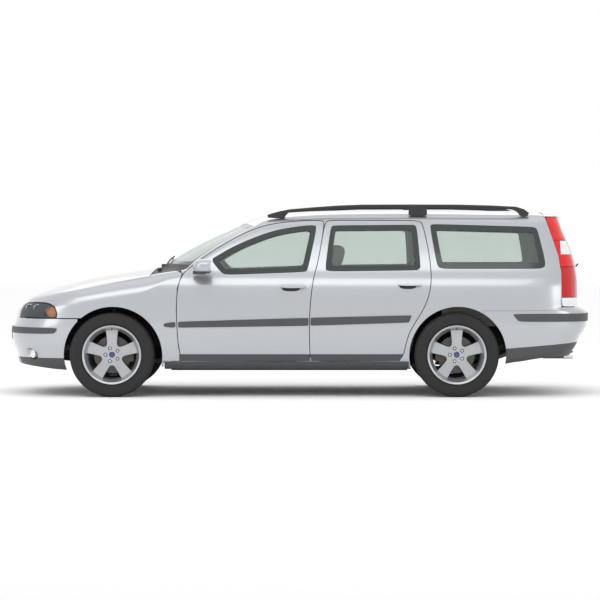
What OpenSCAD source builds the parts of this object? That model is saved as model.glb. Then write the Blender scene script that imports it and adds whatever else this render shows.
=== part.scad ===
// Station wagon in millimetres: +X forward, +Y the car's left, +Z up.
// The origin is on the ground, on the centre line, midway between the two bumpers.

/* [Body] */
// Overall length over both bumpers
length = 4710; // [4300:10:5000]
// Widest half width, at the rub strips
half_width = 893; // [800:1:950]
// Crown of the roof above the ground
roof_height = 1506; // [1400:1:1600]
// Gap round every panel that opens
gap = 6; // [5:0.5:10]
// Gap between two fixed pieces
seam = 2; // [1:0.5:4]

/* [Panels] */
// Thickness of a door below its window
door_thick = 88; // [60:1:110]
// Thickness of a door's window frame
frame_thick = 38; // [25:1:60]
// Thickness of the body sides with their trim
side_thick = 62; // [40:1:90]
// Thickness of the bonnet and front wings
wing_thick = 24; // [10:1:40]
// Thickness of the roof with its lining
roof_thick = 30; // [15:1:50]
// Thickness of the bumpers
bumper_thick = 42; // [20:1:80]
// Thickness of the window glass
glass_thick = 5; // [3:0.5:6]
// How deep the glass sits below the skin
glass_inset = 12; // [6:1:20]

/* [Wheels] */
// Front axle ahead of the middle of the car
front_axle = 1488; // [1400:1:1600]
// Rear axle behind the middle of the car
rear_axle = 1267; // [1200:1:1400]
// Half of the track
half_track = 781; // [700:1:850]
// Tyre radius
tyre_r = 338; // [300:1:360]
// Tyre width
tyre_w = 222; // [185:1:245]
// Radius of the rim's outer flange
rim_r = 236; // [200:1:250]

/* [Parts] */
// Which sub-part to build

/* [Hidden] */
$fn = 96;
BIG = 3000;
// height of the hub above the ground
hub_z = tyre_r;
// stations where the ends of the body start to round in plan
X_FRONT = 1500;
X_REAR = -1650;
// exponents of the two rounded ends in plan
P_FRONT = 3.0;
P_REAR = 5;
// distance from the centre line at which the screen's bow is given
BOW_Y = 700;

// centre line of the body from tail to nose: [x, z]
TOP = [[-2165, 1438], [-2086, 1480], [-2003, 1488], [-1920, 1495], [-1423, 1500],
       [-843, roof_height], [-263, 1500], [68, 1485], [234, 1469], [317, 1453], [428, 1407],
       [1063, 1085], [1130, 1030], [1228, 1018], [1394, 996], [1560, 972], [1725, 940],
       [1891, 899], [2057, 851], [2235, 770], [2300, 700]];
// side of the body at half length: [z, y]
SIDE = [[180, 780], [221, 800], [260, 838], [343, 862], [450, 880], [600, half_width], [750, 890],
        [880, 876], [950, 850], [1000, 818], [1100, 775], [1200, 727], [1300, 676], [1400, 620],
        [1440, 592], [1475, 560], [1530, 500]];
// nose at the centre line: [z, x]
NOSE = [[180, 2285], [273, 2305], [318, 2315], [364, 2330], [409, 2347], [500, length / 2],
        [546, 2352], [591, 2330], [637, 2307], [682, 2298], [728, 2275], [770, 2235], [1600, 2235]];
// tail at the centre line: [z, x]
TAIL = [[180, -2180], [341, -2220], [386, -2250], [477, -2300], [568, -2350], [659, -length / 2],
        [690, -2350], [706, -2290], [720, -2275], [932, -2275], [1023, -2268], [1159, -2238],
        [1250, -2203], [1341, -2163], [1432, -2142], [1448, -2160], [1600, -2160]];
// lower edge of the body: [x, z]
FOOT = [[-2360, 330], [-2040, 315], [-1677, 266], [-1000, 221], [1073, 221], [1865, 212],
        [2150, 236], [2360, 262]];
// bow of the screen and roof ahead of the side: [x, mm at BOW_Y]
BOW = [[-2300, 10], [-600, 20], [100, 70], [372, 113], [1002, 193], [1300, 190], [2000, 70],
       [2360, 40]];
// fall of the top towards the side: [x, mm at 1 m from the centre line]
CROWN = [[-2300, 130], [100, 130], [428, 90], [1002, 25], [1300, 45], [2360, 75]];
// radius of the corner between top and side: [x, mm]
CORNER = [[-2300, 60], [100, 72], [400, 45], [900, 36], [1060, 60], [1250, 110], [2000, 110],
          [2360, 80]];

// index of the table's step that holds v
function step_of(t, v, i = 0) = i >= len(t) - 2 || v < t[i + 1][0] ? i : step_of(t, v, i + 1);
// slope of step i
function rise(t, i) = (t[i + 1][1] - t[i][1]) / (t[i + 1][0] - t[i][0]);
// slope of the smooth curve at entry i, with no overshoot
function grade(t, i) =
    i == 0 ? rise(t, 0) :
    i == len(t) - 1 ? rise(t, i - 1) :
    rise(t, i - 1) * rise(t, i) <= 0 ? 0 :
    let (a = t[i][0] - t[i - 1][0], b = t[i + 1][0] - t[i][0])
    3 * (a + b) / ((2 * b + a) / rise(t, i - 1) + (b + 2 * a) / rise(t, i));
// smooth curve through a table of [position, value]
function curve(t, v) =
    let (i = step_of(t, v), h = t[i + 1][0] - t[i][0], u = min(1, max(0, (v - t[i][0]) / h)))
    (1 + 2 * u) * pow(1 - u, 2) * t[i][1] + u * pow(1 - u, 2) * h * grade(t, i)
    + u * u * (3 - 2 * u) * t[i + 1][1] + u * u * (u - 1) * h * grade(t, i + 1);

// a station is [x, share of the way to the end, end]: end 0 amidships, 1 nose, -1 tail
function at_x(s, z, t) =
    s[2] == 0 ? s[0] :
    s[2] > 0 ? X_FRONT + (curve(NOSE, z) - t - X_FRONT) * s[1] :
    X_REAR + (curve(TAIL, z) + t - X_REAR) * s[1];
// share of the full width left at a station
function plan_share(s) =
    s[2] == 0 ? 1 : let (p = s[2] > 0 ? P_FRONT : P_REAR) pow(1 - pow(s[1], p), 1 / p);
function at_y(s, z, t) = (curve(SIDE, z) - t) * plan_share(s);
// height of the top at x, y
function top_z(x, y, t) =
    curve(TOP, x + curve(BOW, x) * pow(y / BOW_Y, 2)) - curve(CROWN, x) * pow(y / 1000, 2) - t;
function crest(s, y, t, z = 1000, n = 7) = n == 0 ? z : crest(s, y, t, top_z(at_x(s, z, t), y, t), n - 1);
// height at which top and side would meet in a sharp edge
function edge_z(s, t, z = 1000, n = 9) =
    n == 0 ? z : edge_z(s, t, top_z(at_x(s, z, t), at_y(s, z, t), t), n - 1);
function blend(a, b, k) = a + (b - a) * k;
function round_corner(a, c, b, k) =
    pow(1 - k, 3) * a + 3 * pow(1 - k, 2) * k * blend(a, c, 0.6)
    + 3 * (1 - k) * k * k * blend(b, c, 0.6) + pow(k, 3) * b;
// left half of one cross-section, bottom centre to top centre
function half_section(s, t, n_side, n_corner, n_top) =
    let (ze = edge_z(s, t), ye = at_y(s, ze, t),
         r = min(curve(CORNER, at_x(s, ze, t)), 0.55 * ye),
         zb = curve(FOOT, at_x(s, 400, 0)) - (t > 0 ? 60 : 0), z1 = ze - r, y2 = ye - r,
         a = [at_y(s, z1, t), z1], c = [ye, ze], b = [y2, crest(s, y2, t)],
         flat = concat(
             [[0, zb], [at_y(s, zb, t) * 0.96, zb]],
             [for (i = [0:n_side - 1]) let (z = blend(zb + 22, z1, i / n_side)) [at_y(s, z, t), z]],
             [for (i = [0:n_corner]) round_corner(a, c, b, i / n_corner)],
             [for (i = [1:n_top]) let (y = y2 * (1 - i / n_top)) [y, crest(s, y, t)]]))
    [for (q = flat) [at_x(s, q[1], t), q[0], q[1]]];
function ring(h) = concat(h, [for (i = [len(h) - 2:-1:1]) [h[i][0], -h[i][1], h[i][2]]]);

// shares of the rounded ends, and stations amidships
END_SHARES = [0.998, 0.98, 0.945, 0.89, 0.81, 0.7, 0.55, 0.35, 0];
MID_X = [-1400, -1050, -650, -300, 0, 120, 200, 260, 320, 380, 440, 530, 640, 760, 860, 940, 1000,
         1050, 1100, 1150, 1220, 1340];
COARSE_SHARES = [0.998, 0.96, 0.88, 0.74, 0.52, 0.25, 0];
COARSE_X = [-1000, -300, 0, 150, 270, 400, 600, 800, 930, 1040, 1130, 1250];
function stations(ends, mids) = concat(
    [for (u = ends) [0, u, -1]],
    [for (x = mids) [x, 0, 0]],
    [for (i = [len(ends) - 1:-1:0]) [0, ends[i], 1]]);

// closed solid through all stations, its sides, nose and top moved in by t
module body_volume(t = 0, fine = true) {
    st = fine ? stations(END_SHARES, MID_X) : stations(COARSE_SHARES, COARSE_X);
    ns = fine ? 13 : 8;
    nc = fine ? 5 : 3;
    nt = fine ? 7 : 5;
    h = 2 + ns + nc + 1 + nt;
    n = 2 * (h - 1);
    rings = [for (s = st) ring(half_section(s, t, ns, nc, nt))];
    last = (len(st) - 1) * n;
    polyhedron(
        points = [for (r = rings) each r],
        faces = concat(
            [for (i = [0:len(st) - 2]) for (j = [0:n - 1]) let (k = (j + 1) % n)
                each [[i * n + j, (i + 1) * n + k, i * n + k],
                      [i * n + j, (i + 1) * n + j, (i + 1) * n + k]]],
            [for (j = [0:h - 2]) let (a = (n - j) % n, b = (n - j - 1) % n)
                each j == 0 ? [[0, 1, b]] : j == h - 2 ? [[j, j + 1, a]] :
                     [[j, j + 1, b], [j, b, a]]],
            [for (j = [0:h - 2]) let (a = (n - j) % n, b = (n - j - 1) % n)
                each j == 0 ? [[last, last + b, last + 1]] :
                     j == h - 2 ? [[last + j, last + a, last + j + 1]] :
                     [[last + j, last + b, last + j + 1], [last + j, last + a, last + b]]]),
        convexity = 6);
}

// skin of the body from depth d0 to depth d1
module skin(d0, d1) {
    difference() {
        body_volume(d0);
        body_volume(d1, false);
    }
}
// points of a side view, extruded over the left half from y0 to y1
module side_mask(pts, y0 = 0.5, y1 = 1200, grow = 0) {
    translate([0, y1, 0]) rotate([90, 0, 0]) linear_extrude(y1 - y0) offset(delta = grow) polygon(pts);
}
// points of a plan view, extruded upwards
module plan_mask(pts, z0, z1, grow = 0) {
    translate([0, 0, z0]) linear_extrude(z1 - z0) offset(delta = grow) polygon(pts);
}
// points of a rear view [y, z], extruded from x0 to x1
module rear_mask(pts, x0, x1, grow = 0) {
    translate([x0, 0, 0]) rotate([90, 0, 90]) linear_extrude(x1 - x0) offset(delta = grow) polygon(pts);
}
module box_of(a, b) {
    translate(a) cube(b - a);
}
// one mesh of everything inside
module solid() {
    resize([0, 0, 0]) children();
}
module both(side) {
    if (side > 0) children(); else mirror([0, 1, 0]) children();
}
function mirrored(pts) = concat(pts, [for (i = [len(pts) - 1:-1:0]) [-pts[i][0], pts[i][1]]]);

// side-view lines: [x, z]
FRONT_EDGE = [[926, 290], [953, 390], [964, 499], [968, 600], [972, 712], [964, 870], [926, 987]];
FRONT_TOP = [[821, 1072], [685, 1168], [485, 1287], [314, 1362], [145, 1397], [-26, 1412],
             [-218, 1416]];
B_LINE = [[-161, 1088], [-121, 949], [-98, 768], [-88, 608], [-92, 395], [-98, 288]];
REAR_EDGE = [[-1000, 1412], [-1048, 1167], [-1066, 986], [-1054, 848], [-1010, 720], [-943, 613],
             [-886, 516], [-859, 420], [-847, 362], [-836, 336], [-814, 290]];
DOOR_F = concat(FRONT_EDGE, FRONT_TOP, B_LINE);
DOOR_R = concat([[-218, 1416]], REAR_EDGE, [for (i = [5:-1:0]) B_LINE[i]]);
WINDOW_F = [[600, 975], [-59, 999], [-76, 1013], [-156, 1381], [31, 1363], [201, 1331], [370, 1271],
            [539, 1196], [673, 1115], [700, 1095]];
WINDOW_R = [[-211, 1003], [-945, 1012], [-972, 1022], [-980, 1045], [-956, 1368], [-930, 1379],
            [-280, 1374], [-262, 1360]];
WINDOW_Q = [[-1060, 1372], [-1080, 1385], [-1910, 1362], [-1929, 1340], [-1987, 1060], [-1959, 1024],
            [-1139, 1023], [-1111, 1050]];
LAMP_T = [[-1997, 1443], [-2054, 1257], [-2091, 1129], [-2108, 1001], [-2105, 722], [-2400, 722],
          [-2400, 1443]];
LAMP_F = [[1923, 640], [1930, 700], [1962, 745], [2060, 757], [2500, 752], [2500, 627], [1940, 627]];
// rear-view edge of the tailgate: [y, z]
GATE = [[0, 724], [632, 724], [640, 800], [622, 1000], [585, 1140], [545, 1257], [478, 1380],
        [452, 1450], [440, 1600], [0, 1600]];
GATE_GLASS = [[0, 1050], [540, 1050], [552, 1070], [536, 1150], [502, 1250], [446, 1360],
              [420, 1395], [0, 1405]];
// front-view edge of the nose panel between the lamps: [y, z]
NOSE_PANEL = [[0, 180], [470, 180], [470, 748], [0, 762]];
// plan edge of the bonnet: [x, y]
BONNET = [[1184, 775], [1290, 790], [1500, 772], [1760, 728], [1960, 655], [2110, 560], [2190, 470],
          [2290, 300], [2420, 0]];
// lines across the car that follow the bow, from the centre line to y
function across(x, y) = [for (k = [0:8]) [x - curve(BOW, x) * pow(y * k / 8 / BOW_Y, 2), y * k / 8]];
SCREEN_BASE = 1078;
SCREEN_HEAD = 446;
BONNET_REAR = 1160;
function bonnet_rear(y) = [for (k = [0:4]) [BONNET_REAR + 26 * pow(y * k / 4 / 775, 2), y * k / 4]];
ROOF_EDGE = 548;
ROOF_END = -1990;

module door_shell(outline) {
    difference() {
        intersection() {
            body_volume(0);
            side_mask(outline, 0.5, 1200, -gap / 2);
        }
        intersection() {
            body_volume(door_thick, false);
            box_of([-1500, 0, 0], [1500, 1200, 985]);
        }
        intersection() {
            body_volume(frame_thick, false);
            box_of([-1500, 0, 984], [1500, 1200, 1600]);
        }
    }
}
// everything nearer the hinge axis than the rear edge, level by level
module sweep_limit(axis, edge) {
    translate([axis[0], axis[1], 0]) rotate([0, 0, 150]) rotate_extrude(angle = 62, $fn = 300)
        polygon(concat([[0, edge[0][1] - 60]],
                       [for (e = edge) [norm([e[0] + gap / 2 - axis[0], curve(SIDE, e[1]) - axis[1]]), e[1]]],
                       [[0, edge[len(edge) - 1][1]]]));
}
function flipped(t) = [for (i = [len(t) - 1:-1:0]) t[i]];
AXIS_F = [968, half_width];
AXIS_R = [-92, half_width];

module door(outline, window, axis, edge) {
    solid() intersection() {
        difference() {
            door_shell(outline);
            side_mask(window, 300);
        }
        sweep_limit(axis, edge);
    }
}
module window_pane(window) {
    solid() intersection() {
        difference() {
            body_volume(glass_inset);
            body_volume(glass_inset + glass_thick);
        }
        side_mask(window, 300, 1200, -0.6);
    }
}
module door_front(side) {
    color("silver") both(side)
        door(DOOR_F, WINDOW_F, AXIS_F, concat([[-98, 200]], flipped(B_LINE), [[-218, 1416], [-230, 1470]]));
}
module door_rear(side) {
    color("silver") both(side)
        door(DOOR_R, WINDOW_R, AXIS_R,
             concat([[-800, 200]], flipped(REAR_EDGE), [[-996, 1440], [-990, 1470]]));
}
module glass_door_front(side) {
    color("lightblue") both(side) window_pane(WINDOW_F);
}
module glass_door_rear(side) {
    color("lightblue") both(side) window_pane(WINDOW_R);
}
module glass_quarter(side) {
    color("lightblue") both(side) window_pane(WINDOW_Q);
}

FRONT_ARCH = [1480, 328, 395];
REAR_ARCH = [-1275, 335, 388];
module arch_cut(a, grow = 0) {
    translate([a[0], -1200, a[1]]) rotate([-90, 0, 0]) cylinder(r = a[2] + grow, h = 2400, $fn = 72);
}
// the bonnet's plan area on both sides of the car
module bonnet_area(grow = 0) {
    pts = concat(bonnet_rear(775), [for (i = [1:8]) BONNET[i]]);
    both_y = concat(pts, [for (i = [len(pts) - 1:-1:0]) [pts[i][0], -pts[i][1]]]);
    plan_mask(both_y, 600, 1300, grow);
}
module screen_area(grow = 0) {
    pts = concat(across(SCREEN_BASE, 742), flipped(across(SCREEN_HEAD, 585)));
    both_y = concat(pts, [for (i = [len(pts) - 1:-1:0]) [pts[i][0], -pts[i][1]]]);
    for (s = [1, -1]) scale([1, s, 1]) plan_mask(concat([[SCREEN_BASE, -30]], pts, [[SCREEN_HEAD, -30]]), 900, 1600, grow);
}
module bonnet() {
    color("silver") solid() intersection() {
        skin(0, wing_thick);
        bonnet_area(-gap / 2);
        box_of([900, -900, 764], [2400, 900, 1300]);
    }
}
module cowl_area(grow = 0) {
    for (s = [1, -1]) scale([1, s, 1])
        plan_mask(concat([[SCREEN_BASE, -20]], across(SCREEN_BASE, 742), flipped(bonnet_rear(742)),
                         [[BONNET_REAR, -20]]), 850, 1300, grow);
}
module cowl() {
    color("dimgray") solid() intersection() {
        skin(5, 40);
        cowl_area(-gap / 2);
    }
}
module wing(side) {
    color("silver") both(side) solid() difference() {
        intersection() {
            skin(0, wing_thick);
            side_mask(concat([[930, 287]], [for (p = FRONT_EDGE) p], [[950, 1002], [1100, 1040], [1400, 1080], [2420, 900],
                [2420, 627 + seam], [1700, 627 + seam], [1700, 240], [1073, 240], [1073, 287]]), 300, 1200, -gap / 2);
        }
        bonnet_area(gap / 2);
        cowl_area(seam);
        side_mask(LAMP_F, 300, 1200, seam);
        box_of([2000, -500, 0], [2500, 472, 900]);
        arch_cut(FRONT_ARCH);
    }
}
module headlight(side) {
    color("white") both(side) solid() difference() {
        intersection() {
            skin(0, 90);
            side_mask(LAMP_F, 472, 1200);
        }
        arch_cut(FRONT_ARCH, 26);
        bonnet_area(gap / 2);
    }
}
module front_bumper() {
    color("silver") solid() difference() {
        intersection() {
            skin(0, bumper_thick);
            union() {
                box_of([1762, -1000, 150], [2400, 1000, 624]);
                rear_mask(mirrored(NOSE_PANEL), 2000, 2400, -seam);
            }
        }
        arch_cut(FRONT_ARCH);
        bonnet_area(gap / 2);
        for (s = [1, -1]) translate([2000, s * 690, 342]) rotate([0, 90, 0])
            cylinder(r = 46, h = 400, $fn = 20);
        box_of([2200, -330, 296], [2400, 330, 428]);
        box_of([2200, -300, 598], [2400, 300, 722]);
        translate([2200, -420, 405]) rotate([0, 90, 0]) cylinder(r = 24, h = 200, $fn = 16);
    }
}
module grille() {
    color("dimgray") solid() intersection() {
        skin(6, 40);
        union() {
            difference() {
                box_of([2200, -299, 599], [2400, 299, 721]);
                for (k = [-4:4]) box_of([2200, k * 64 - 26, 611], [2400, k * 64 + 26, 709]);
            }
            difference() {
                box_of([2200, -329, 297], [2400, 329, 427]);
                for (k = [0:2]) box_of([2200, -317, 307 + k * 39], [2400, 317, 337 + k * 39]);
            }
        }
    }
}
module fog_lamps() {
    color("white") solid() intersection() {
        skin(8, 60);
        for (s = [1, -1]) translate([2000, s * 690, 342]) rotate([0, 90, 0])
            cylinder(r = 43, h = 400, $fn = 20);
    }
}
module rear_bumper() {
    color("silver") solid() difference() {
        intersection() {
            skin(0, bumper_thick);
            union() {
                box_of([-2400, -1000, 200], [-1480, 1000, 690]);
                box_of([-2400, -1000, 200], [-2107, 1000, 718]);
            }
        }
        arch_cut(REAR_ARCH);
        box_of([-2400, 436, 180], [-2030, 524, 370]);
    }
}
module tailgate_area(grow = 0) {
    rear_mask(mirrored(GATE), -2400, ROOF_END, grow);
}
module tailgate() {
    color("silver") solid() difference() {
        union() {
            // thin skin out to the edge, which swings clear of the lamps
            intersection() {
                skin(0, 8);
                tailgate_area(-gap / 2);
                box_of([-2400, -800, 0], [ROOF_END - gap / 2, 800, 1600]);
            }
            // deeper frame inside the edge
            intersection() {
                skin(4, 50);
                tailgate_area(-46);
                box_of([-2400, -800, 0], [ROOF_END - 46, 800, 1600]);
            }
        }
        rear_mask(mirrored(GATE_GLASS), -2400, -2080);
    }
}
module glass_tailgate() {
    color("lightblue") solid() intersection() {
        difference() {
            body_volume(glass_inset);
            body_volume(glass_inset + glass_thick);
        }
        rear_mask(mirrored(GATE_GLASS), -2400, -2080, -0.6);
    }
}
module tail_lamp(side) {
    color("red") both(side) solid() difference() {
        intersection() {
            skin(0, 60);
            side_mask(LAMP_T, 400, 1200);
        }
        tailgate_area(gap / 2);
    }
}
module windscreen() {
    color("lightblue") solid() intersection() {
        difference() {
            body_volume(glass_inset);
            body_volume(glass_inset + glass_thick);
        }
        screen_area(-0.6);
    }
}
module roof_panel() {
    color("silver") solid() difference() {
        intersection() {
            skin(0, roof_thick);
            box_of([ROOF_END + gap, -ROOF_EDGE, 1250], [700, ROOF_EDGE, 1600]);
        }
        screen_area(0);
        plan_mask(concat(across(SCREEN_HEAD, 900), [[1300, 900], [1300, 0]]), 900, 1600, 0.5);
        mirror([0, 1, 0]) plan_mask(concat(across(SCREEN_HEAD, 900), [[1300, 900], [1300, 0]]), 900, 1600, 0.5);
    }
}
// pillar behind the edge of a door, from its sill to the roof
module jamb(pts) {
    intersection() {
        union() {
            intersection() {
                difference() {
                    body_volume(door_thick + 8, false);
                    body_volume(door_thick + 48, false);
                }
                box_of([-1500, 0, 0], [1500, 1200, 1060]);
            }
            intersection() {
                difference() {
                    body_volume(frame_thick + 8, false);
                    body_volume(door_thick + 22, false);
                }
                box_of([-1500, 0, 991], [1500, 1200, 1600]);
            }
        }
        side_mask(pts, 300);
    }
}
module body_side(side) {
    color("silver") both(side) solid() union() {
        difference() {
            intersection() {
                skin(0, side_thick);
                side_mask([[1020, 221], [1073 - seam, 221], [1073 - seam, 287], [936, 287], [936, 1010],
                    [1012, 1018], [1012, 1100], [700, 1300], [300, 1600], [-1988, 1600], [-2200, 1443],
                    [-2200, 724], [-2104, 724], [-2104, 692], [-1480, 692], [-1480, 221]], 300);
            }
            side_mask(DOOR_F, 300, 1200, gap / 2);
            side_mask(DOOR_R, 300, 1200, gap / 2);
            side_mask(WINDOW_Q, 300);
            side_mask(concat(FRONT_EDGE, [[950, 1002], [1400, 1060], [1400, 287]]), 300, 1200, gap / 2);
            bonnet_area(gap / 2);
            screen_area(0);
            cowl_area(seam);
            side_mask(LAMP_T, 300, 1200, seam);
            tailgate_area(gap / 2);
            box_of([-1987, -1000, 1200], [700, ROOF_EDGE + seam, 1700]);
            arch_cut(REAR_ARCH);
        }
        jamb([[-150, 262], [-20, 262], [-40, 700], [-70, 949], [-130, 1250], [-150, 1440], [-290, 1440], [-230, 1088], [-175, 949]]);
        jamb([[-880, 262], [-780, 262], [-790, 400], [-880, 620], [-960, 800], [-990, 986], [-960, 1440], [-1080, 1440],
            [-1130, 986], [-1110, 780], [-1010, 640], [-950, 560]]);
        jamb([[860, 262], [960, 262], [990, 700], [960, 1000], [860, 1000]]);
        intersection() {
            difference() {
                body_volume(0);
                body_volume(150, false);
            }
            side_mask([[-850, 221], [-850, 278], [950, 278], [950, 221]], 300);
        }
    }
}

// ground structure: floors, bulkhead, wheel housings
module wheel_housing(x, y_in) {
    translate([x, y_in, hub_z]) rotate([-90, 0, 0]) difference() {
        cylinder(r = 412, h = 850 - y_in);
        translate([0, 0, -1]) cylinder(r = 402, h = 900 - y_in);
        translate([-500, 60, -1]) cube([1000, 500, 1000]);
    }
}
module floor_pan() {
    color("dimgray") {
        // floor with its tunnel, open below for the exhaust
        difference() {
            union() {
                box_of([-860, -640, 205], [1000, 640, 235]);
                box_of([-880, -150, 205], [1024, 150, 330]);
                box_of([1000, -640, 205], [1024, 640, 380]);
                box_of([-880, -640, 205], [-860, 640, 560]);
            }
            box_of([-890, -80, 195], [1030, 80, 318]);
        }
        box_of([1000, -476, 380], [1024, 476, 940]);
        box_of([1000, -660, 740], [1024, -476, 940]);
        box_of([1000, 476, 740], [1024, 660, 940]);
        box_of([-2180, -480, 540], [-880, 480, 560]);
        for (s = [1, -1]) both(s) {
            box_of([1024, 462, 400], [2100, 476, 740]);
            box_of([-2100, 480, 400], [-880, 490, 560]);
            box_of([-2100, 480, 559], [-1015, 490, 780]);
            difference() {
                intersection() {
                    wheel_housing(front_axle, 474);
                    union() {
                        box_of([1026, 474, 360], [1750, 832, 900]);
                        box_of([1749, 474, 360], [2000, 770, 900]);
                    }
                }
                strut_frame(front_axle) translate([0, 0, 300]) cylinder(r = 86, h = 500);
            }
            box_of([1388, 462, 730], [1588, 476, 880]);
            box_of([1388, 462, 868], [1588, 650, 880]);
            intersection() {
                wheel_housing(-rear_axle, 490);
                union() {
                    box_of([-1760, 490, 380], [-1140, 790, 900]);
                    box_of([-1141, 490, 380], [-860, 636, 900]);
                }
            }
            box_of([2099, 260, 440], [2241, 330, 530]);
        }
        box_of([2060, -476, 380], [2100, 476, 540]);
        box_of([2240, -330, 440], [2280, 330, 530]);
        box_of([-2235, -480, 480], [-2180, 480, 560]);
    }
}

// the four wheels: [x, side]
module wheel_at(x, side) {
    translate([x, side * half_track, hub_z]) rotate([side > 0 ? -90 : 90, 0, 0]) children();
}
// tyre with its hollow, turned about the axle; z of the profile runs outwards
module tyre(x, side) {
    w = tyre_w / 2;
    color("black") wheel_at(x, side) rotate_extrude() polygon([
        [219.5, -78], [224, -92], [238, -94], [242, -101], [262, -109], [300, -w], [322, -106],
        [333, -94], [tyre_r, -70], [tyre_r, 70], [333, 94], [322, 106], [300, w], [262, 109],
        [242, 101], [238, 94], [224, 92], [219.5, 78], [219.5, 64], [240, 80], [270, 96],
        [300, 99], [316, 92], [324, 66], [324, -66], [316, -92], [300, -99], [270, -96],
        [240, -80], [219.5, -64]]);
}
function polar(r, a) = [r * cos(a), r * sin(a)];
function beside(r, w, a) = [r * cos(a) - w * sin(a), r * sin(a) + w * cos(a)];
// outline of the five spokes with their hub
STAR = [for (k = [0:4]) let (a = 72 * k - 90)
    each [polar(80, a - 36), beside(104, -33, a), beside(199, -42, a), beside(199, 42, a),
          beside(104, 33, a)]];
module rim(x, side) {
    color("gainsboro") wheel_at(x, side) difference() {
        union() {
            rotate_extrude() polygon([[196, -101], [rim_r, -101], [rim_r, -97], [222, -95],
                [218.5, -80], [218.5, -62], [206, -40], [206, 40], [218.5, 62], [218.5, 78],
                [222, 95], [rim_r, 97], [rim_r, 101], [224, 101], [212, 90], [196, 66], [190, 40],
                [192, -60]]);
            translate([0, 0, 30]) linear_extrude(34) polygon(STAR);
            translate([0, 0, 3]) cylinder(r = 74, h = 40);
        }
        cylinder(r = 25, h = 80);
        for (k = [0:4]) rotate([0, 0, 72 * k]) translate([54, 0, 0]) cylinder(r = 9, h = 80);
    }
}
module brake_disc(x, side) {
    color("gray") wheel_at(x, side) rotate_extrude() polygon([[34, 2], [74, 2], [74, -12], [150, -12], [150, -36],
        [66, -36], [66, -8], [34, -8]]);
}
// strut line of a steered wheel, from the lower ball joint to the top mount
BALL = [735, 225];
MOUNT_TOP = [560, 876];
LEAN = atan2(BALL[0] - MOUNT_TOP[0], MOUNT_TOP[1] - BALL[1]);
module strut_frame(x) {
    translate([x, BALL[0], BALL[1]]) rotate([LEAN, 0, 0]) children();
}
module knuckle(side) {
    color("gray") both(side) {
        // hub and upright
        translate([front_axle, 690, hub_z]) rotate([-90, 0, 0]) cylinder(r = 30, h = 92);
        box_of([front_axle - 30, 676, 236], [front_axle + 30, 706, 470]);
        box_of([front_axle - 22, 700, 218], [front_axle + 22, 740, 232]);
        box_of([front_axle - 22, 690, 218], [front_axle + 22, 704, 250]);
        // strut and spring
        strut_frame(front_axle) translate([0, 0, 190]) cylinder(r = 25, h = 330);
        strut_frame(front_axle) translate([0, 0, 500]) cylinder(r = 11, h = 150);
        strut_frame(front_axle) translate([0, 0, 505]) cylinder(r = 72, h = 8);
        strut_frame(front_axle) translate([0, 0, 512]) difference() {
            cylinder(r = 66, h = 120);
            translate([0, 0, -1]) cylinder(r = 52, h = 130);
        }
        // brake caliper round the disc's front edge
        box_of([front_axle - 168, 724, hub_z - 54], [front_axle - 100, 738, hub_z + 54]);
        box_of([front_axle - 168, 724, hub_z - 54], [front_axle - 156, 802, hub_z + 54]);
        box_of([front_axle - 168, 775, hub_z - 54], [front_axle - 116, 802, hub_z + 54]);
        box_of([front_axle - 130, 690, hub_z - 50], [front_axle + 20, 730, hub_z + 50]);
    }
}
module front_subframe() {
    color("dimgray") {
        box_of([1290, -440, 175], [1350, 440, 235]);
        box_of([1290, -440, 175], [1760, -380, 225]);
        box_of([1290, 380, 175], [1760, 440, 225]);
        box_of([1700, -440, 175], [1760, 440, 225]);
        for (s = [1, -1]) both(s) {
            // lower arm out to the ball joint
            box_of([1440, 436, 166], [1536, 590, 186]);
            box_of([1462, 589, 166], [1514, 738, 180]);
            box_of([1480, 722, 179], [1496, 736, 216]);
        }
    }
}
module engine() {
    color("gray") box_of([1240, -330, 290], [1800, 330, 860]);
}
module rear_suspension() {
    color("dimgray") {
        box_of([-rear_axle - 60, -470, 250], [-rear_axle + 60, 470, 330]);
        for (s = [1, -1]) both(s) {
            translate([-rear_axle, 440, hub_z]) rotate([-90, 0, 0]) cylinder(r = 32, h = 300);
            box_of([-rear_axle - 30, 440, 300], [-rear_axle + 30, 650, 330]);
            translate([-rear_axle, 740, hub_z]) rotate([-90, 0, 0]) cylinder(r = 28, h = 42);
            translate([-rear_axle + 120, 430, 240]) cylinder(r = 22, h = 290);
            box_of([-rear_axle + 60, 400, 240], [-rear_axle + 150, 460, 262]);
            box_of([-rear_axle + 100, 690, hub_z - 50], [-rear_axle + 168, 738, hub_z + 50]);
            box_of([-rear_axle + 156, 690, hub_z - 50], [-rear_axle + 168, 802, hub_z + 50]);
            box_of([-rear_axle + 116, 775, hub_z - 50], [-rear_axle + 168, 802, hub_z + 50]);
            box_of([-rear_axle - 20, 600, hub_z - 30], [-rear_axle + 120, 700, hub_z + 30]);
        }
    }
}
// round pipe through a list of points, with a ball at each bend
module pipe(pts, r) {
    for (i = [0:len(pts) - 2]) let (d = pts[i + 1] - pts[i])
        translate(pts[i]) rotate([0, acos(d[2] / norm(d)), atan2(d[1], d[0])])
            cylinder(r = r, h = norm(d));
    for (i = [1:len(pts) - 2]) translate(pts[i]) sphere(r = r + 4);
}
module exhaust() {
    $fn = 16;
    color("gray") solid() {
        pipe([[1220, 0, 258], [-900, 0, 258], [-1040, 40, 190], [-1160, 330, 200],
              [-1420, 372, 232], [-1800, 420, 370]], 25);
        translate([300, 0, 260]) rotate([0, -90, 0]) cylinder(r = 52, h = 420);
        translate([-2000, 300, 318]) cube([220, 172, 125]);
        translate([-1990, 480, 322]) rotate([0, -90, 0]) cylinder(r = 30, h = 215);
    }
}

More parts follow.
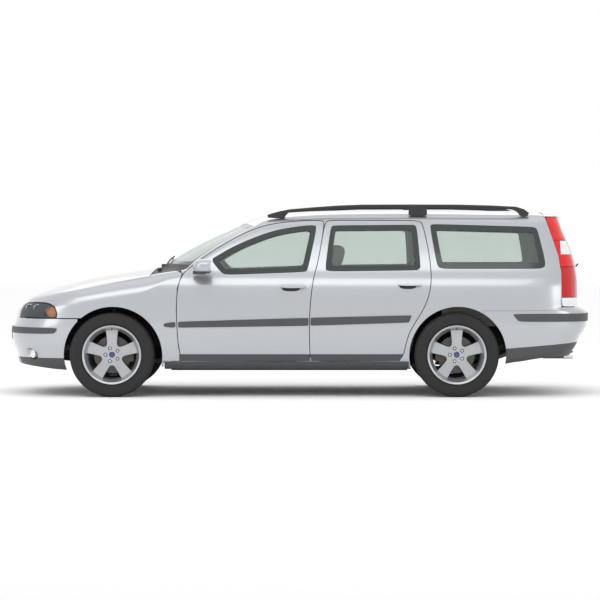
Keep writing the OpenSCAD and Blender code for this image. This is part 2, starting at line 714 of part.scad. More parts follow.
module dashboard() {
    color("dimgray") {
        difference() {
            box_of([690, -575, 640], [985, 575, 915]);
            translate([600, -700, 600]) rotate([0, 40, 0]) cube([260, 1400, 120]);
        }
        box_of([300, -105, 340], [700, 105, 560]);
        translate(COLUMN) rotate([0, COLUMN_TILT - 90, 0]) translate([0, 0, -260]) cylinder(r = 30, h = 210);
    }
}
COLUMN = [560, 370, 865];
COLUMN_TILT = 25;
module steering_wheel() {
    color("black") translate(COLUMN) rotate([0, -(90 - COLUMN_TILT), 0]) {
        rotate_extrude() translate([176, 0]) circle(r = 15);
        translate([0, 0, -40]) cylinder(r = 62, h = 44);
        for (a = [0, 120, 240]) rotate([0, 0, a + 180]) translate([40, -20, -18]) cube([126, 40, 14]);
    }
}
module seat(x, y) {
    translate([x, y, 0]) {
        box_of([-240, -255, 330], [270, 255, 470]);
        box_of([-200, -200, 236], [220, -160, 330]);
        box_of([-200, 160, 236], [220, 200, 330]);
        translate([-215, -240, 400]) rotate([0, -18, 0]) translate([-120, 0, 0]) cube([130, 480, 600]);
        translate([-420, -130, 1030]) rotate([0, -12, 0]) cube([90, 260, 180]);
    }
}
module front_seat(side) {
    color("tan") seat(80, side * 370);
}
module rear_seat() {
    color("tan") {
        difference() {
            box_of([-858, -630, 236], [-380, 630, 450]);
            box_of([-870, -152, 230], [-370, 152, 332]);
        }
        box_of([-858, -630, 449], [-700, 630, 564]);
        intersection() {
            translate([-760, -650, 420]) rotate([0, -20, 0]) translate([-110, 0, 0]) cube([120, 1300, 560]);
            union() {
                box_of([-1200, -650, 640], [-400, 650, 1100]);
                box_of([-1200, -484, 563], [-400, 484, 641]);
            }
        }
        for (y = [-430, 0, 430]) translate([-1040, y - 115, 930]) rotate([0, -12, 0]) cube([80, 230, 190]);
    }
}
module door_mirror(side) {
    color("silver") both(side) solid() difference() {
        union() {
            hull() {
                translate([720, 960, 1045]) scale([0.62, 1.15, 0.6]) sphere(r = 92, $fn = 18);
                translate([760, 920, 1040]) scale([0.62, 0.5, 0.6]) sphere(r = 92, $fn = 18);
            }
            hull() {
                translate([790, 862, 985]) cube([70, 12, 22]);
                translate([740, 905, 985]) cube([70, 12, 22]);
            }
        }
        body_volume(-2);
        translate([560, 800, 985]) cube([118, 400, 130]);
    }
}
RAIL_FRONT = [[240, 1450], [150, 1478], [70, 1494], [-130, 1510], [-330, 1524], [-520, 1531]];
RAIL_REAR = [[-880, 1531], [-1300, 1531], [-1560, 1524], [-1784, 1511], [-1840, 1488], [-1868, 1462]];
RAIL_R = 13;
RAIL_Y = 572;
// flat-sided bar through a list of [x, z]
module bent_bar(pts) {
    n = len(pts) - 1;
    translate([0, RAIL_Y + 10, 0]) rotate([90, 0, 0]) linear_extrude(20) polygon(concat(
        [for (i = [0:n]) pts[i] + [0, 11]], [for (i = [n:-1:0]) pts[i] - [0, 11]]));
}
module roof_rail(side) {
    color("dimgray") both(side) {
        translate([-880, RAIL_Y, 1531]) rotate([0, 90, 0]) cylinder(r = RAIL_R, h = 360);
        bent_bar(RAIL_FRONT);
        bent_bar(RAIL_REAR);
        box_of([-1041, RAIL_Y - 9, 1468], [-892, RAIL_Y + 9, 1524]);
        box_of([150, RAIL_Y - 9, 1452], [250, RAIL_Y + 9, 1462]);
    }
}
module tow_eye_socket() {
    color("gray") translate([2102, -420, 405]) rotate([0, 90, 0]) difference() {
        cylinder(r = 18, h = 178);
        translate([0, 0, 118]) cylinder(r = 8, h = 61);
    }
}

floor_pan();
body_side(1);  // body_side_left
body_side(-1);  // body_side_right
roof_panel();
wing(1);  // wing_left
wing(-1);  // wing_right
front_bumper();
grille();
fog_lamps();
headlight(1);  // headlight_left
headlight(-1);  // headlight_right
cowl();
windscreen();
glass_quarter(1);  // glass_quarter_left
glass_quarter(-1);  // glass_quarter_right
tail_lamp(1);  // tail_lamp_left
tail_lamp(-1);  // tail_lamp_right
rear_bumper();
roof_rail(1);  // roof_rail_left
roof_rail(-1);  // roof_rail_right
engine();
front_subframe();
rear_suspension();
exhaust();
dashboard();
steering_wheel();
front_seat(1);  // front_seat_left
front_seat(-1);  // front_seat_right
rear_seat();
door_front(1);  // door_front_left
door_front(-1);  // door_front_right
door_rear(1);  // door_rear_left
door_rear(-1);  // door_rear_right
glass_door_front(1);  // glass_front_left
glass_door_front(-1);  // glass_front_right
glass_door_rear(1);  // glass_rear_left
glass_door_rear(-1);  // glass_rear_right
door_mirror(1);  // mirror_left
door_mirror(-1);  // mirror_right
tailgate();
glass_tailgate();
bonnet();
tow_eye_socket();
knuckle(1);  // knuckle_left
knuckle(-1);  // knuckle_right
tyre(front_axle, 1);  // tyre_fl
tyre(front_axle, -1);  // tyre_fr
tyre(-rear_axle, 1);  // tyre_rl
tyre(-rear_axle, -1);  // tyre_rr
rim(front_axle, 1);  // rim_fl
rim(front_axle, -1);  // rim_fr
rim(-rear_axle, 1);  // rim_rl
rim(-rear_axle, -1);  // rim_rr
brake_disc(front_axle, 1);  // disc_fl
brake_disc(front_axle, -1);  // disc_fr
brake_disc(-rear_axle, 1);  // disc_rl
brake_disc(-rear_axle, -1);  // disc_rr
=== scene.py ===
"""Looks of the station wagon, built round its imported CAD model.

Everything is in metres in the frame of the CAD model: +X forward, +Y to the car's left, +Z up.
Panels are cut from one dense skin that follows the same lines as the CAD body, so that light runs
across every gap without a break.
"""

import logging
import math
from dataclasses import dataclass, field
from enum import Enum
from typing import Callable, Sequence

import bmesh
import bpy
import numpy as np
from mathutils import Matrix, Vector
from mathutils.bvhtree import BVHTree

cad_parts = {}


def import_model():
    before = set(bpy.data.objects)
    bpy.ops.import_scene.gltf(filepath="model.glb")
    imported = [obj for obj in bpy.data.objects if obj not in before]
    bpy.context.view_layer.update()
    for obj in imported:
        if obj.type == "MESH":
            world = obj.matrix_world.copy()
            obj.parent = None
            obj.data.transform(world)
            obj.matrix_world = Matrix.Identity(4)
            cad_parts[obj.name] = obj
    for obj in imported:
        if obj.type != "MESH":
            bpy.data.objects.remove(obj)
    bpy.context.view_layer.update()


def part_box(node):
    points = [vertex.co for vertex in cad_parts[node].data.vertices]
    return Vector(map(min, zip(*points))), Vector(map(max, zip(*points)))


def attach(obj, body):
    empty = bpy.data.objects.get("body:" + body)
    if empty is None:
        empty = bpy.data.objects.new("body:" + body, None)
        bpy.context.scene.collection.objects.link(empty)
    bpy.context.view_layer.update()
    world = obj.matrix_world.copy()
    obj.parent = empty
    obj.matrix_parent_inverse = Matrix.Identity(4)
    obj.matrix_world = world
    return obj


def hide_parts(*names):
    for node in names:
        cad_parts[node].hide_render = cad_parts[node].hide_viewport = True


Point2 = tuple[float, float]
Point3 = tuple[float, float, float]
Outline = list[Point2]

LOG = logging.getLogger("wagon")
MM = 0.001
# Reach of a cutting block past any side of the car, in millimetres.
BIG = 1200.0


class Side(Enum):
    """Side of the car, with the sign of its Y."""

    LEFT = 1
    RIGHT = -1

    @property
    def word(self) -> str:
        """Name used in node and piece names."""
        return self.name.lower()


class Plane(Enum):
    """Plane in which an outline is drawn."""

    SIDE = "xz"
    PLAN = "xy"
    REAR = "yz"


# ---------------------------------------------------------------------------------------------
# Nodes and finishes


def linear(code: str, alpha: float = 1.0) -> tuple[float, float, float, float]:
    """Turns an sRGB hex colour into Blender's linear RGBA.

    Args:
        code: Six hex digits, such as "c0c4c8".
        alpha: Alpha to give it.

    Returns:
        Linear red, green, blue and alpha.
    """
    parts = [int(code[i : i + 2], 16) / 255 for i in (0, 2, 4)]
    red, green, blue = [c / 12.92 if c <= 0.04045 else ((c + 0.055) / 1.055) ** 2.4 for c in parts]
    return (red, green, blue, alpha)


def add_node(
    material: bpy.types.Material,
    kind: str,
    settings: dict[str, object] | None = None,
    links: dict[str, bpy.types.NodeSocket] | None = None,
) -> bpy.types.Node:
    """Adds one node to a material.

    Args:
        material: Material whose tree takes the node.
        kind: Blender's name of the node type.
        settings: Socket names or attributes, and the value for each.
        links: Socket names, and the output that feeds each.

    Returns:
        The new node.
    """
    tree = material.node_tree
    node = tree.nodes.new(kind)
    for name, value in (settings or {}).items():
        if hasattr(node, name) and name not in node.inputs:
            setattr(node, name, value)
        else:
            node.inputs[name].default_value = value
    for name, output in (links or {}).items():
        socket = node.inputs[int(name)] if name.isdigit() else node.inputs[name]
        tree.links.new(output, socket)
    return node


@dataclass(frozen=True)
class Finish:
    """Common ground of every finish: one shader, its colour and its relief.

    Grain is two layers of noise: a coarse one that shifts the colour and the roughness, and a
    fine one that gives relief.
    """

    name: str
    colour: str
    second: str
    roughness: float = 0.5
    metallic: float = 0.0
    ior: float = 1.5
    blotch_mm: float = 40.0
    grain_mm: float = 1.5
    relief_mm: float = 0.1
    roughness_spread: float = 0.08
    coat: float = 0.0
    coat_roughness: float = 0.03
    sheen: float = 0.0
    transmission: float = 0.0
    alpha: float = 1.0
    specular: float = 0.5

    def coordinates(self, material: bpy.types.Material) -> bpy.types.NodeSocket:
        """Object coordinates in metres, the same at every scale of view."""
        return add_node(material, "ShaderNodeTexCoord").outputs["Object"]

    def shader(self, material: bpy.types.Material) -> bpy.types.Node:
        """Finds the material's main shader."""
        return material.node_tree.nodes["Principled BSDF"]

    def make(self) -> bpy.types.Material:
        """Builds the material once and returns it afterwards.

        Returns:
            The finished material.
        """
        if self.name in bpy.data.materials:
            return bpy.data.materials[self.name]
        material = bpy.data.materials.new(self.name)
        material.use_nodes = True
        shader = self.shader(material)
        values = {
            "Metallic": self.metallic,
            "Roughness": self.roughness,
            "IOR": self.ior,
            "Specular IOR Level": self.specular,
            "Coat Weight": self.coat,
            "Coat Roughness": self.coat_roughness,
            "Sheen Weight": self.sheen,
            "Transmission Weight": self.transmission,
            "Alpha": self.alpha,
        }
        for name, value in values.items():
            shader.inputs[name].default_value = value
        material.diffuse_color = linear(self.colour)
        self.dress(material)
        return material

    def dress(self, material: bpy.types.Material) -> None:
        """Adds colour variation, roughness variation and relief to the shader.

        Args:
            material: Material to dress.
        """
        tree, shader = material.node_tree, self.shader(material)
        at = self.coordinates(material)
        blotch = add_node(
            material,
            "ShaderNodeTexNoise",
            {"Scale": 1000 / self.blotch_mm, "Detail": 3.0},
            {"Vector": at},
        )
        mix = add_node(
            material,
            "ShaderNodeMix",
            {"data_type": "RGBA"},
            {"0": blotch.outputs["Fac"]},
        )
        mix.inputs[6].default_value = linear(self.colour)
        mix.inputs[7].default_value = linear(self.second)
        tree.links.new(mix.outputs[2], shader.inputs["Base Color"])
        spread = add_node(
            material,
            "ShaderNodeMapRange",
            {
                "To Min": max(0.0, self.roughness - self.roughness_spread),
                "To Max": min(1.0, self.roughness + self.roughness_spread),
            },
            {"Value": blotch.outputs["Fac"]},
        )
        tree.links.new(spread.outputs["Result"], shader.inputs["Roughness"])
        self.raise_grain(material, at)

    def raise_grain(self, material: bpy.types.Material, at: bpy.types.NodeSocket) -> None:
        """Gives the surface its fine relief.

        Args:
            material: Material to change.
            at: Coordinates that the grain follows.
        """
        if self.relief_mm <= 0:
            return
        grain = add_node(
            material, "ShaderNodeTexNoise", {"Scale": 1000 / self.grain_mm, "Detail": 2.0}, {"Vector": at}
        )
        bump = add_node(
            material,
            "ShaderNodeBump",
            {"Distance": self.relief_mm * MM, "Strength": 0.6},
            {"Height": grain.outputs["Fac"]},
        )
        material.node_tree.links.new(bump.outputs["Normal"], self.shader(material).inputs["Normal"])


@dataclass(frozen=True)
class MetallicPaint(Finish):
    """Silver base coat with aluminium flakes, sprayed, under a clear coat.

    The flakes give a soft bright glow and a faint sparkle, and the clear coat sharp reflections.
    """

    flake_mm: float = 1.2

    def dress(self, material: bpy.types.Material) -> None:
        """Adds flakes that differ in brightness, and a very shallow unevenness of the coat."""
        tree, shader = material.node_tree, self.shader(material)
        at = self.coordinates(material)
        # real flakes are about 0.03 mm: drawn far coarser so that a little sparkle shows
        flakes = add_node(
            material, "ShaderNodeTexVoronoi", {"Scale": 1000 / self.flake_mm}, {"Vector": at}
        )
        hue = add_node(
            material,
            "ShaderNodeSeparateColor",
            {},
            {"Color": flakes.outputs["Color"]},
        )
        mix = add_node(material, "ShaderNodeMix", {"data_type": "RGBA"}, {"0": hue.outputs[0]})
        mix.inputs[6].default_value = linear(self.colour)
        mix.inputs[7].default_value = linear(self.second)
        tree.links.new(mix.outputs[2], shader.inputs["Base Color"])
        # road film gathers slowly: the gloss of the lower body wanders a little
        film = add_node(
            material, "ShaderNodeTexNoise", {"Scale": 1000 / self.blotch_mm, "Detail": 4.0}, {"Vector": at}
        )
        spread = add_node(
            material,
            "ShaderNodeMapRange",
            {
                "To Min": self.roughness - self.roughness_spread,
                "To Max": self.roughness + self.roughness_spread,
            },
            {"Value": film.outputs["Fac"]},
        )
        tree.links.new(spread.outputs["Result"], shader.inputs["Roughness"])


@dataclass(frozen=True)
class WovenCloth(Finish):
    """Woven polyester: two sets of threads over and under each other, with soft fuzz."""

    thread_mm: float = 3.0

    def dress(self, material: bpy.types.Material) -> None:
        """Adds crossing threads to colour and relief."""
        tree, shader = material.node_tree, self.shader(material)
        at = self.coordinates(material)
        # real threads are about 0.6 mm apart: drawn at thread_mm so that the weave shows
        waves = [
            add_node(
                material,
                "ShaderNodeTexWave",
                {
                    "Scale": 1000 / self.thread_mm / 20,
                    "bands_direction": direction,
                    "Distortion": 0.6,
                    "Detail": 1.0,
                },
                {"Vector": at},
            )
            for direction in ("X", "Y", "Z")
        ]
        pair = add_node(
            material,
            "ShaderNodeMath",
            {"operation": "MAXIMUM"},
            {"0": waves[0].outputs["Fac"], "1": waves[1].outputs["Fac"]},
        )
        weave = add_node(
            material,
            "ShaderNodeMath",
            {"operation": "MULTIPLY"},
            {"0": pair.outputs[0], "1": waves[2].outputs["Fac"]},
        )
        mix = add_node(material, "ShaderNodeMix", {"data_type": "RGBA"}, {"0": weave.outputs[0]})
        mix.inputs[6].default_value = linear(self.colour)
        mix.inputs[7].default_value = linear(self.second)
        tree.links.new(mix.outputs[2], shader.inputs["Base Color"])
        bump = add_node(
            material,
            "ShaderNodeBump",
            {"Distance": self.relief_mm * MM, "Strength": 0.7},
            {"Height": weave.outputs[0]},
        )
        tree.links.new(bump.outputs["Normal"], shader.inputs["Normal"])


@dataclass(frozen=True)
class TintedGlass(Finish):
    """Pressed toughened glass with a faint green tint: clear inside, bright at a low angle."""

    def dress(self, material: bpy.types.Material) -> None:
        """Mixes see-through glass with gloss that grows at a low angle."""
        tree, shader = material.node_tree, self.shader(material)
        clear = add_node(material, "ShaderNodeBsdfTransparent", {"Color": linear(self.second)})
        facing = add_node(material, "ShaderNodeFresnel", {"IOR": self.ior})
        # a thin film of dust and wiper haze keeps the pane from being perfectly clean
        haze = add_node(
            material,
            "ShaderNodeTexNoise",
            {"Scale": 1000 / self.blotch_mm, "Detail": 3.0},
            {"Vector": self.coordinates(material)},
        )
        film = add_node(
            material, "ShaderNodeMapRange", {"To Min": 0.03, "To Max": 0.07}, {"Value": haze.outputs["Fac"]}
        )
        share = add_node(
            material,
            "ShaderNodeMath",
            {"operation": "ADD", "use_clamp": True},
            {"0": facing.outputs["Fac"], "1": film.outputs["Result"]},
        )
        shader.inputs["Base Color"].default_value = linear(self.colour)
        mix = add_node(
            material,
            "ShaderNodeMixShader",
            {},
            {"0": share.outputs[0], "1": clear.outputs[0], "2": shader.outputs[0]},
        )
        tree.links.new(mix.outputs[0], tree.nodes["Material Output"].inputs["Surface"])


@dataclass(frozen=True)
class FlutedLens(Finish):
    """Injection-moulded acrylic lens with prisms on its inside: colour with lively glints."""

    flute_mm: float = 9.0

    def raise_grain(self, material: bpy.types.Material, at: bpy.types.NodeSocket) -> None:
        """Gives the lens its rows of prisms."""
        rows = [
            add_node(
                material,
                "ShaderNodeTexWave",
                {"Scale": 1000 / self.flute_mm / 20, "bands_direction": direction},
                {"Vector": at},
            )
            for direction in ("Y", "Z")
        ]
        both = add_node(
            material,
            "ShaderNodeMath",
            {"operation": "ADD"},
            {"0": rows[0].outputs["Fac"], "1": rows[1].outputs["Fac"]},
        )
        bump = add_node(
            material,
            "ShaderNodeBump",
            {"Distance": self.relief_mm * MM, "Strength": 0.8},
            {"Height": both.outputs[0]},
        )
        material.node_tree.links.new(bump.outputs["Normal"], self.shader(material).inputs["Normal"])


# sprayed silver base coat under clear coat
PAINT = MetallicPaint(
    "sprayed_silver_paint", "a6a9ae", "b2b5ba", roughness=0.3, metallic=0.62, coat=1.0, blotch_mm=260,
    roughness_spread=0.03,
)
# grained ABS, moulded: dull dark grey with a soft edge light
TRIM = Finish("moulded_grained_abs", "3a3c3f", "434548", roughness=0.55, grain_mm=1.2, relief_mm=0.12)
# glass-filled nylon, moulded: nearly black, slightly coarser than trim
BLACK_PLASTIC = Finish("moulded_black_nylon", "17181a", "222325", roughness=0.5, grain_mm=1.5, relief_mm=0.1)
# EPDM rubber, extruded: soft black with no shine
SEAL = Finish("extruded_rubber_seal", "2a302e", "343a38", roughness=0.7, grain_mm=2.5, relief_mm=0.08)
# ceramic frit fired on glass: smooth gloss black
FRIT = Finish(
    "fired_ceramic_frit", "2a302f", "323937", roughness=0.12, grain_mm=3, relief_mm=0.0, roughness_spread=0.03,
)
# tyre rubber, cured in a mould: deep grey with dusty patches
TYRE = Finish("moulded_tyre_rubber", "161617", "1f1f20", roughness=0.78, blotch_mm=30, grain_mm=2.0, relief_mm=0.25)
# cast aluminium, lacquered: bright with a fine orange peel
ALLOY = Finish(
    "lacquered_cast_alloy", "a6a9ac", "acafb2", roughness=0.3, metallic=0.8, coat=0.5, blotch_mm=120, grain_mm=2.5,
    relief_mm=0.01, roughness_spread=0.02,
)
# aluminium, diamond turned: mirror-like lip with fine rings
TURNED_LIP = Finish(
    "diamond_turned_alloy", "c4c7ca", "d0d3d6", roughness=0.14, metallic=1.0, grain_mm=0.8, relief_mm=0.02,
    roughness_spread=0.04,
)
# grey cast iron, turned by the pads: streaked metal with a rusty edge
DISC = Finish(
    "worn_cast_iron", "4e4c49", "625f5a", roughness=0.38, metallic=0.9, blotch_mm=14, grain_mm=1.2, relief_mm=0.08,
)
# steel, forged and blasted: dull dark metal
FORGED = Finish(
    "blasted_forged_steel", "4a4b4c", "5d5a55", roughness=0.6, metallic=0.7, blotch_mm=20, grain_mm=2.0,
    relief_mm=0.3,
)
# underbody PVC, sprayed: rubbery stone-chip coat
UNDERSEAL = Finish(
    "sprayed_pvc_underseal", "18191a", "222322", roughness=0.8, blotch_mm=60, grain_mm=6.0, relief_mm=0.8,
)
# aluminised steel, rolled: pale tube that has dulled with heat
EXHAUST = Finish(
    "aluminised_steel_tube", "55524d", "6a665f", roughness=0.42, metallic=0.9, blotch_mm=50, grain_mm=2.0,
    relief_mm=0.12,
)
# bright nickel-chrome plate, polished
CHROME = Finish(
    "polished_chrome_plate", "d5d8da", "e2e4e6", roughness=0.07, metallic=1.0, grain_mm=3.0, relief_mm=0.0,
    roughness_spread=0.03,
)
# acrylic badge, moulded: deep blue with a gloss top
CAP_BLUE = Finish("moulded_blue_acrylic", "1b2b5e", "21346d", roughness=0.2, coat=0.8, relief_mm=0.0)
# vacuum-aluminised reflector: mirror bright
REFLECTOR = Finish(
    "aluminised_reflector", "dfe3e6", "eef1f3", roughness=0.08, metallic=1.0, grain_mm=8, relief_mm=0.3,
    roughness_spread=0.04,
)
# polycarbonate headlight housing, moulded: satin dark grey
BEZEL = Finish("moulded_dark_bezel", "141516", "1c1e20", roughness=0.4, metallic=0.0, grain_mm=4, relief_mm=0.1)
# polycarbonate lens, moulded and hard coated
LENS = TintedGlass("clear_polycarbonate_lens", "6c7276", "fafcfd", roughness=0.03, ior=1.58, blotch_mm=80)
# acrylic lenses, moulded: upper and lower red, amber, clear reversing section
RED_LENS = FlutedLens(
    "moulded_red_acrylic", "c4060c", "dc0c12", roughness=0.12, ior=1.49, coat=0.3, specular=0.3, relief_mm=1.2,
)
DARK_RED_LENS = FlutedLens(
    "moulded_dark_red_acrylic", "a8060c", "bc0a12", roughness=0.12, ior=1.49, coat=0.3, specular=0.3, relief_mm=1.2,
)
AMBER_LENS = FlutedLens(
    "moulded_amber_acrylic", "ff8000", "ff9010", roughness=0.12, ior=1.49, coat=0.3, specular=0.3, relief_mm=0.8,
)
PALE_LENS = FlutedLens("moulded_clear_acrylic", "cfd2d2", "e2e4e4", roughness=0.12, ior=1.49, coat=1.0, relief_mm=1.0)
# toughened glass with a green tint
GLASS = TintedGlass("toughened_green_glass", "dfe6e3", "f0f4f2", roughness=0.02, ior=1.5, blotch_mm=300)
MIRROR = Finish(
    "silvered_mirror_glass", "e3e7ea", "eaeef0", roughness=0.02, metallic=1.0, relief_mm=0.0, roughness_spread=0.01,
)
# woven polyester seat cloth and its plainer side cloth
SEAT_CLOTH = WovenCloth("woven_seat_cloth", "6f6a63", "8a857d", roughness=0.9, sheen=0.35, relief_mm=0.6)
SIDE_CLOTH = WovenCloth("woven_side_cloth", "55524e", "66625d", roughness=0.9, sheen=0.3, relief_mm=0.5, thread_mm=4)
CARPET = Finish(
    "needled_carpet", "3b3a38", "4c4a47", roughness=0.95, sheen=0.3, grain_mm=3.0, relief_mm=1.5, blotch_mm=25,
)
SOFT_DASH = Finish("slush_moulded_dash_skin", "3a3b3d", "444547", roughness=0.62, grain_mm=2.0, relief_mm=0.25)
LEATHER = Finish("stitched_wheel_leather", "1d1d1e", "28282a", roughness=0.45, grain_mm=1.6, relief_mm=0.2)
# studio floor: matt painted board
FLOOR = Finish("matt_painted_floor", "fcfcfc", "fdfdfd", roughness=0.85, relief_mm=0.0, blotch_mm=900)
# Moulded acrylic plate with nothing printed on it: smooth, pale and half gloss.
PALE_PLATE = Finish("blank_moulded_plate", "e8e8e6", "efefed", roughness=0.35, relief_mm=0.05, grain_mm=3)


# ---------------------------------------------------------------------------------------------
# Body surface


def smooth_table(table: Sequence[Point2], low: float, high: float, blur: float) -> tuple[np.ndarray, np.ndarray]:
    """Samples a monotone curve through a table and rounds its joints.

    Args:
        table: Positions and values in millimetres, in rising order of position.
        low: First position to sample.
        high: Last position to sample.
        blur: Standard deviation of the rounding, in millimetres.

    Returns:
        The sampled positions and values.
    """
    x, y = np.array(table, dtype=float).T
    h, d = np.diff(x), np.diff(y) / np.diff(x)
    m = np.empty_like(x)
    m[0], m[-1] = d[0], d[-1]
    for i in range(1, len(x) - 1):
        if d[i - 1] * d[i] <= 0:
            m[i] = 0
        else:
            a, b = h[i - 1], h[i]
            m[i] = 3 * (a + b) / ((2 * b + a) / d[i - 1] + (b + 2 * a) / d[i])
    step = 2.0
    at = np.arange(low - 4 * blur, high + 4 * blur + step, step)
    i = np.clip(np.searchsorted(x, at, side="right") - 1, 0, len(x) - 2)
    u = np.clip((at - x[i]) / h[i], 0, 1)
    value = (
        (1 + 2 * u) * (1 - u) ** 2 * y[i]
        + u * (1 - u) ** 2 * h[i] * m[i]
        + u * u * (3 - 2 * u) * y[i + 1]
        + u * u * (u - 1) * h[i] * m[i + 1]
    )
    if blur > 0:
        k = np.arange(-int(3 * blur / step), int(3 * blur / step) + 1) * step
        w = np.exp(-0.5 * (k / blur) ** 2)
        pad = np.concatenate([np.full(len(k) // 2, value[0]), value, np.full(len(k) // 2, value[-1])])
        value = np.convolve(pad, w / w.sum(), mode="valid")
    return at, value


@dataclass
class BodySurface:
    """The car's outer skin as smooth sections along its length. All sizes in millimetres."""

    x_front: float = 1500
    x_rear: float = -1650
    p_front: float = 3.0
    p_rear: float = 5.0
    bow_y: float = 700
    top: Sequence[Point2] = (
        (-2165, 1438), (-2086, 1480), (-2003, 1488), (-1920, 1495), (-1423, 1500), (-843, 1506),
        (-263, 1500), (68, 1485), (234, 1469), (317, 1453), (428, 1407), (1063, 1085), (1130, 1030),
        (1228, 1018), (1394, 996), (1560, 972), (1725, 940), (1891, 899), (2057, 851), (2235, 770),
        (2300, 700),
    )
    side: Sequence[Point2] = (
        (180, 780), (221, 800), (260, 838), (343, 862), (450, 880), (600, 893), (750, 890),
        (880, 876), (950, 850), (1000, 818), (1100, 775), (1200, 727), (1300, 676), (1400, 620),
        (1440, 592), (1475, 560), (1530, 500),
    )
    nose: Sequence[Point2] = (
        (180, 2285), (273, 2305), (318, 2315), (364, 2330), (409, 2347), (500, 2355), (546, 2352),
        (591, 2330), (637, 2307), (682, 2298), (728, 2275), (770, 2235), (1600, 2235),
    )
    tail: Sequence[Point2] = (
        (180, -2180), (341, -2220), (386, -2250), (477, -2300), (568, -2350), (659, -2355),
        (690, -2350), (706, -2290), (720, -2275), (932, -2275), (1023, -2268), (1159, -2238),
        (1250, -2203), (1341, -2163), (1432, -2142), (1448, -2160), (1600, -2160),
    )
    foot: Sequence[Point2] = (
        (-2360, 330), (-2040, 315), (-1677, 266), (-1000, 221), (1073, 221), (1865, 212),
        (2150, 236), (2360, 262),
    )
    bow: Sequence[Point2] = (
        (-2300, 10), (-600, 20), (100, 70), (372, 113), (1002, 193), (1300, 190), (2000, 70), (2360, 40),
    )
    crown: Sequence[Point2] = (
        (-2300, 130), (100, 130), (428, 90), (1002, 25), (1300, 45), (2360, 75),
    )
    corner: Sequence[Point2] = (
        (-2300, 60), (100, 72), (400, 45), (900, 36), (1060, 60), (1250, 110), (2000, 110), (2360, 80),
    )
    tables: dict[str, tuple[np.ndarray, np.ndarray]] = field(default_factory=dict)

    def __post_init__(self) -> None:
        """Samples every table once."""
        plans = {
            "top": (self.top, -2700, 2900, 14),
            "side": (self.side, 100, 1700, 12),
            "nose": (self.nose, 100, 1700, 7),
            "tail": (self.tail, 100, 1700, 5),
            "foot": (self.foot, -2500, 2500, 30),
            "bow": (self.bow, -2500, 2700, 40),
            "crown": (self.crown, -2500, 2700, 40),
            "corner": (self.corner, -2500, 2700, 30),
        }
        for name, (table, low, high, blur) in plans.items():
            self.tables[name] = smooth_table(table, low, high, blur)

    def read(self, name: str, at: np.ndarray | float) -> np.ndarray | float:
        """Value of one of the curves at a position or at many."""
        return np.interp(at, *self.tables[name])

    def at_x(self, station: Point3, z: np.ndarray, t: float) -> np.ndarray:
        """X of a station at height z, moved in by t."""
        x, share, end = station
        if end == 0:
            return np.full_like(z, x)
        if end > 0:
            return self.x_front + (self.read("nose", z) - t - self.x_front) * share
        return self.x_rear + (self.read("tail", z) + t - self.x_rear) * share

    def at_y(self, station: Point3, z: np.ndarray, t: float) -> np.ndarray:
        """Half width of a station at height z, moved in by t."""
        _, share, end = station
        p = self.p_front if end > 0 else self.p_rear
        width = 1.0 if end == 0 else (1 - share**p) ** (1 / p)
        return (self.read("side", z) - t) * width

    def top_z(self, x: np.ndarray, y: np.ndarray, t: float) -> np.ndarray:
        """Height of the top at x, y, moved down by t."""
        bowed = x + self.read("bow", x) * (y / self.bow_y) ** 2
        return self.read("top", bowed) - self.read("crown", x) * (y / 1000) ** 2 - t

    def crest(self, station: Point3, y: np.ndarray, t: float) -> np.ndarray:
        """Height of the top at a station and half width y."""
        z = np.full_like(y, 1000.0)
        for _ in range(12):
            z = self.top_z(self.at_x(station, z, t), y, t)
        return z

    def half_section(self, station: Point3, t: float, counts: tuple[int, int, int]) -> np.ndarray:
        """Left half of one section from bottom centre to top centre.

        Args:
            station: Position, share and end of the section.
            t: Distance that the skin is moved in.
            counts: Points on the side, on the corner and on the top.

        Returns:
            Points as an array of x, y, z.
        """
        z = np.array([1000.0])
        for _ in range(16):
            z = self.top_z(self.at_x(station, z, t), self.at_y(station, z, t), t)
        edge_y = float(self.at_y(station, z, t)[0])
        edge_z = float(z[0])
        r = min(float(self.read("corner", self.at_x(station, z, t))[0]), 0.55 * edge_y)
        foot_z = float(self.read("foot", self.at_x(station, np.array([400.0]), 0))[0]) - (60 if t > 0 else 0)
        n_side, n_corner, n_top = counts
        rise = np.linspace(foot_z + 22, edge_z - r, n_side, endpoint=False)
        side = np.column_stack([self.at_y(station, rise, t), rise])
        k = np.linspace(0, 1, n_corner + 1)[:, None]
        low = np.array([float(self.at_y(station, np.array([edge_z - r]), t)[0]), edge_z - r])
        peak = np.array([edge_y, edge_z])
        over = np.array([edge_y - r, float(self.crest(station, np.array([edge_y - r]), t)[0])])
        hold_a, hold_b = low + 0.6 * (peak - low), over + 0.6 * (peak - over)
        bend = (1 - k) ** 3 * low + 3 * (1 - k) ** 2 * k * hold_a + 3 * (1 - k) * k**2 * hold_b + k**3 * over
        across = (edge_y - r) * (1 - np.arange(1, n_top + 1) / n_top)
        crown = np.column_stack([across, self.crest(station, across, t)])
        foot_y = float(self.at_y(station, np.array([foot_z]), t)[0]) * 0.96
        flat = np.vstack([[[0, foot_z], [foot_y, foot_z]], side, bend, crown])
        return np.column_stack([self.at_x(station, flat[:, 1], t), flat])

    def stations(self, dense: bool) -> list[Point3]:
        """Stations from tail to nose, closest where the ends round in.

        Args:
            dense: True for the shown skin, False for the inner side of a panel.

        Returns:
            Position, share of the way to the end, and end, for each station.
        """
        n = 34 if dense else 14
        turn = np.linspace(0.08, 1, n)
        shares = [float((1 - v**2.2) ** 0.5) for v in turn]
        step = 24 if dense else 90
        middle = np.arange(self.x_rear + step, self.x_front - 1, step)
        return (
            [(0.0, s, -1) for s in shares]
            + [(float(x), 0.0, 0) for x in middle]
            + [(0.0, s, 1) for s in reversed(shares)]
        )

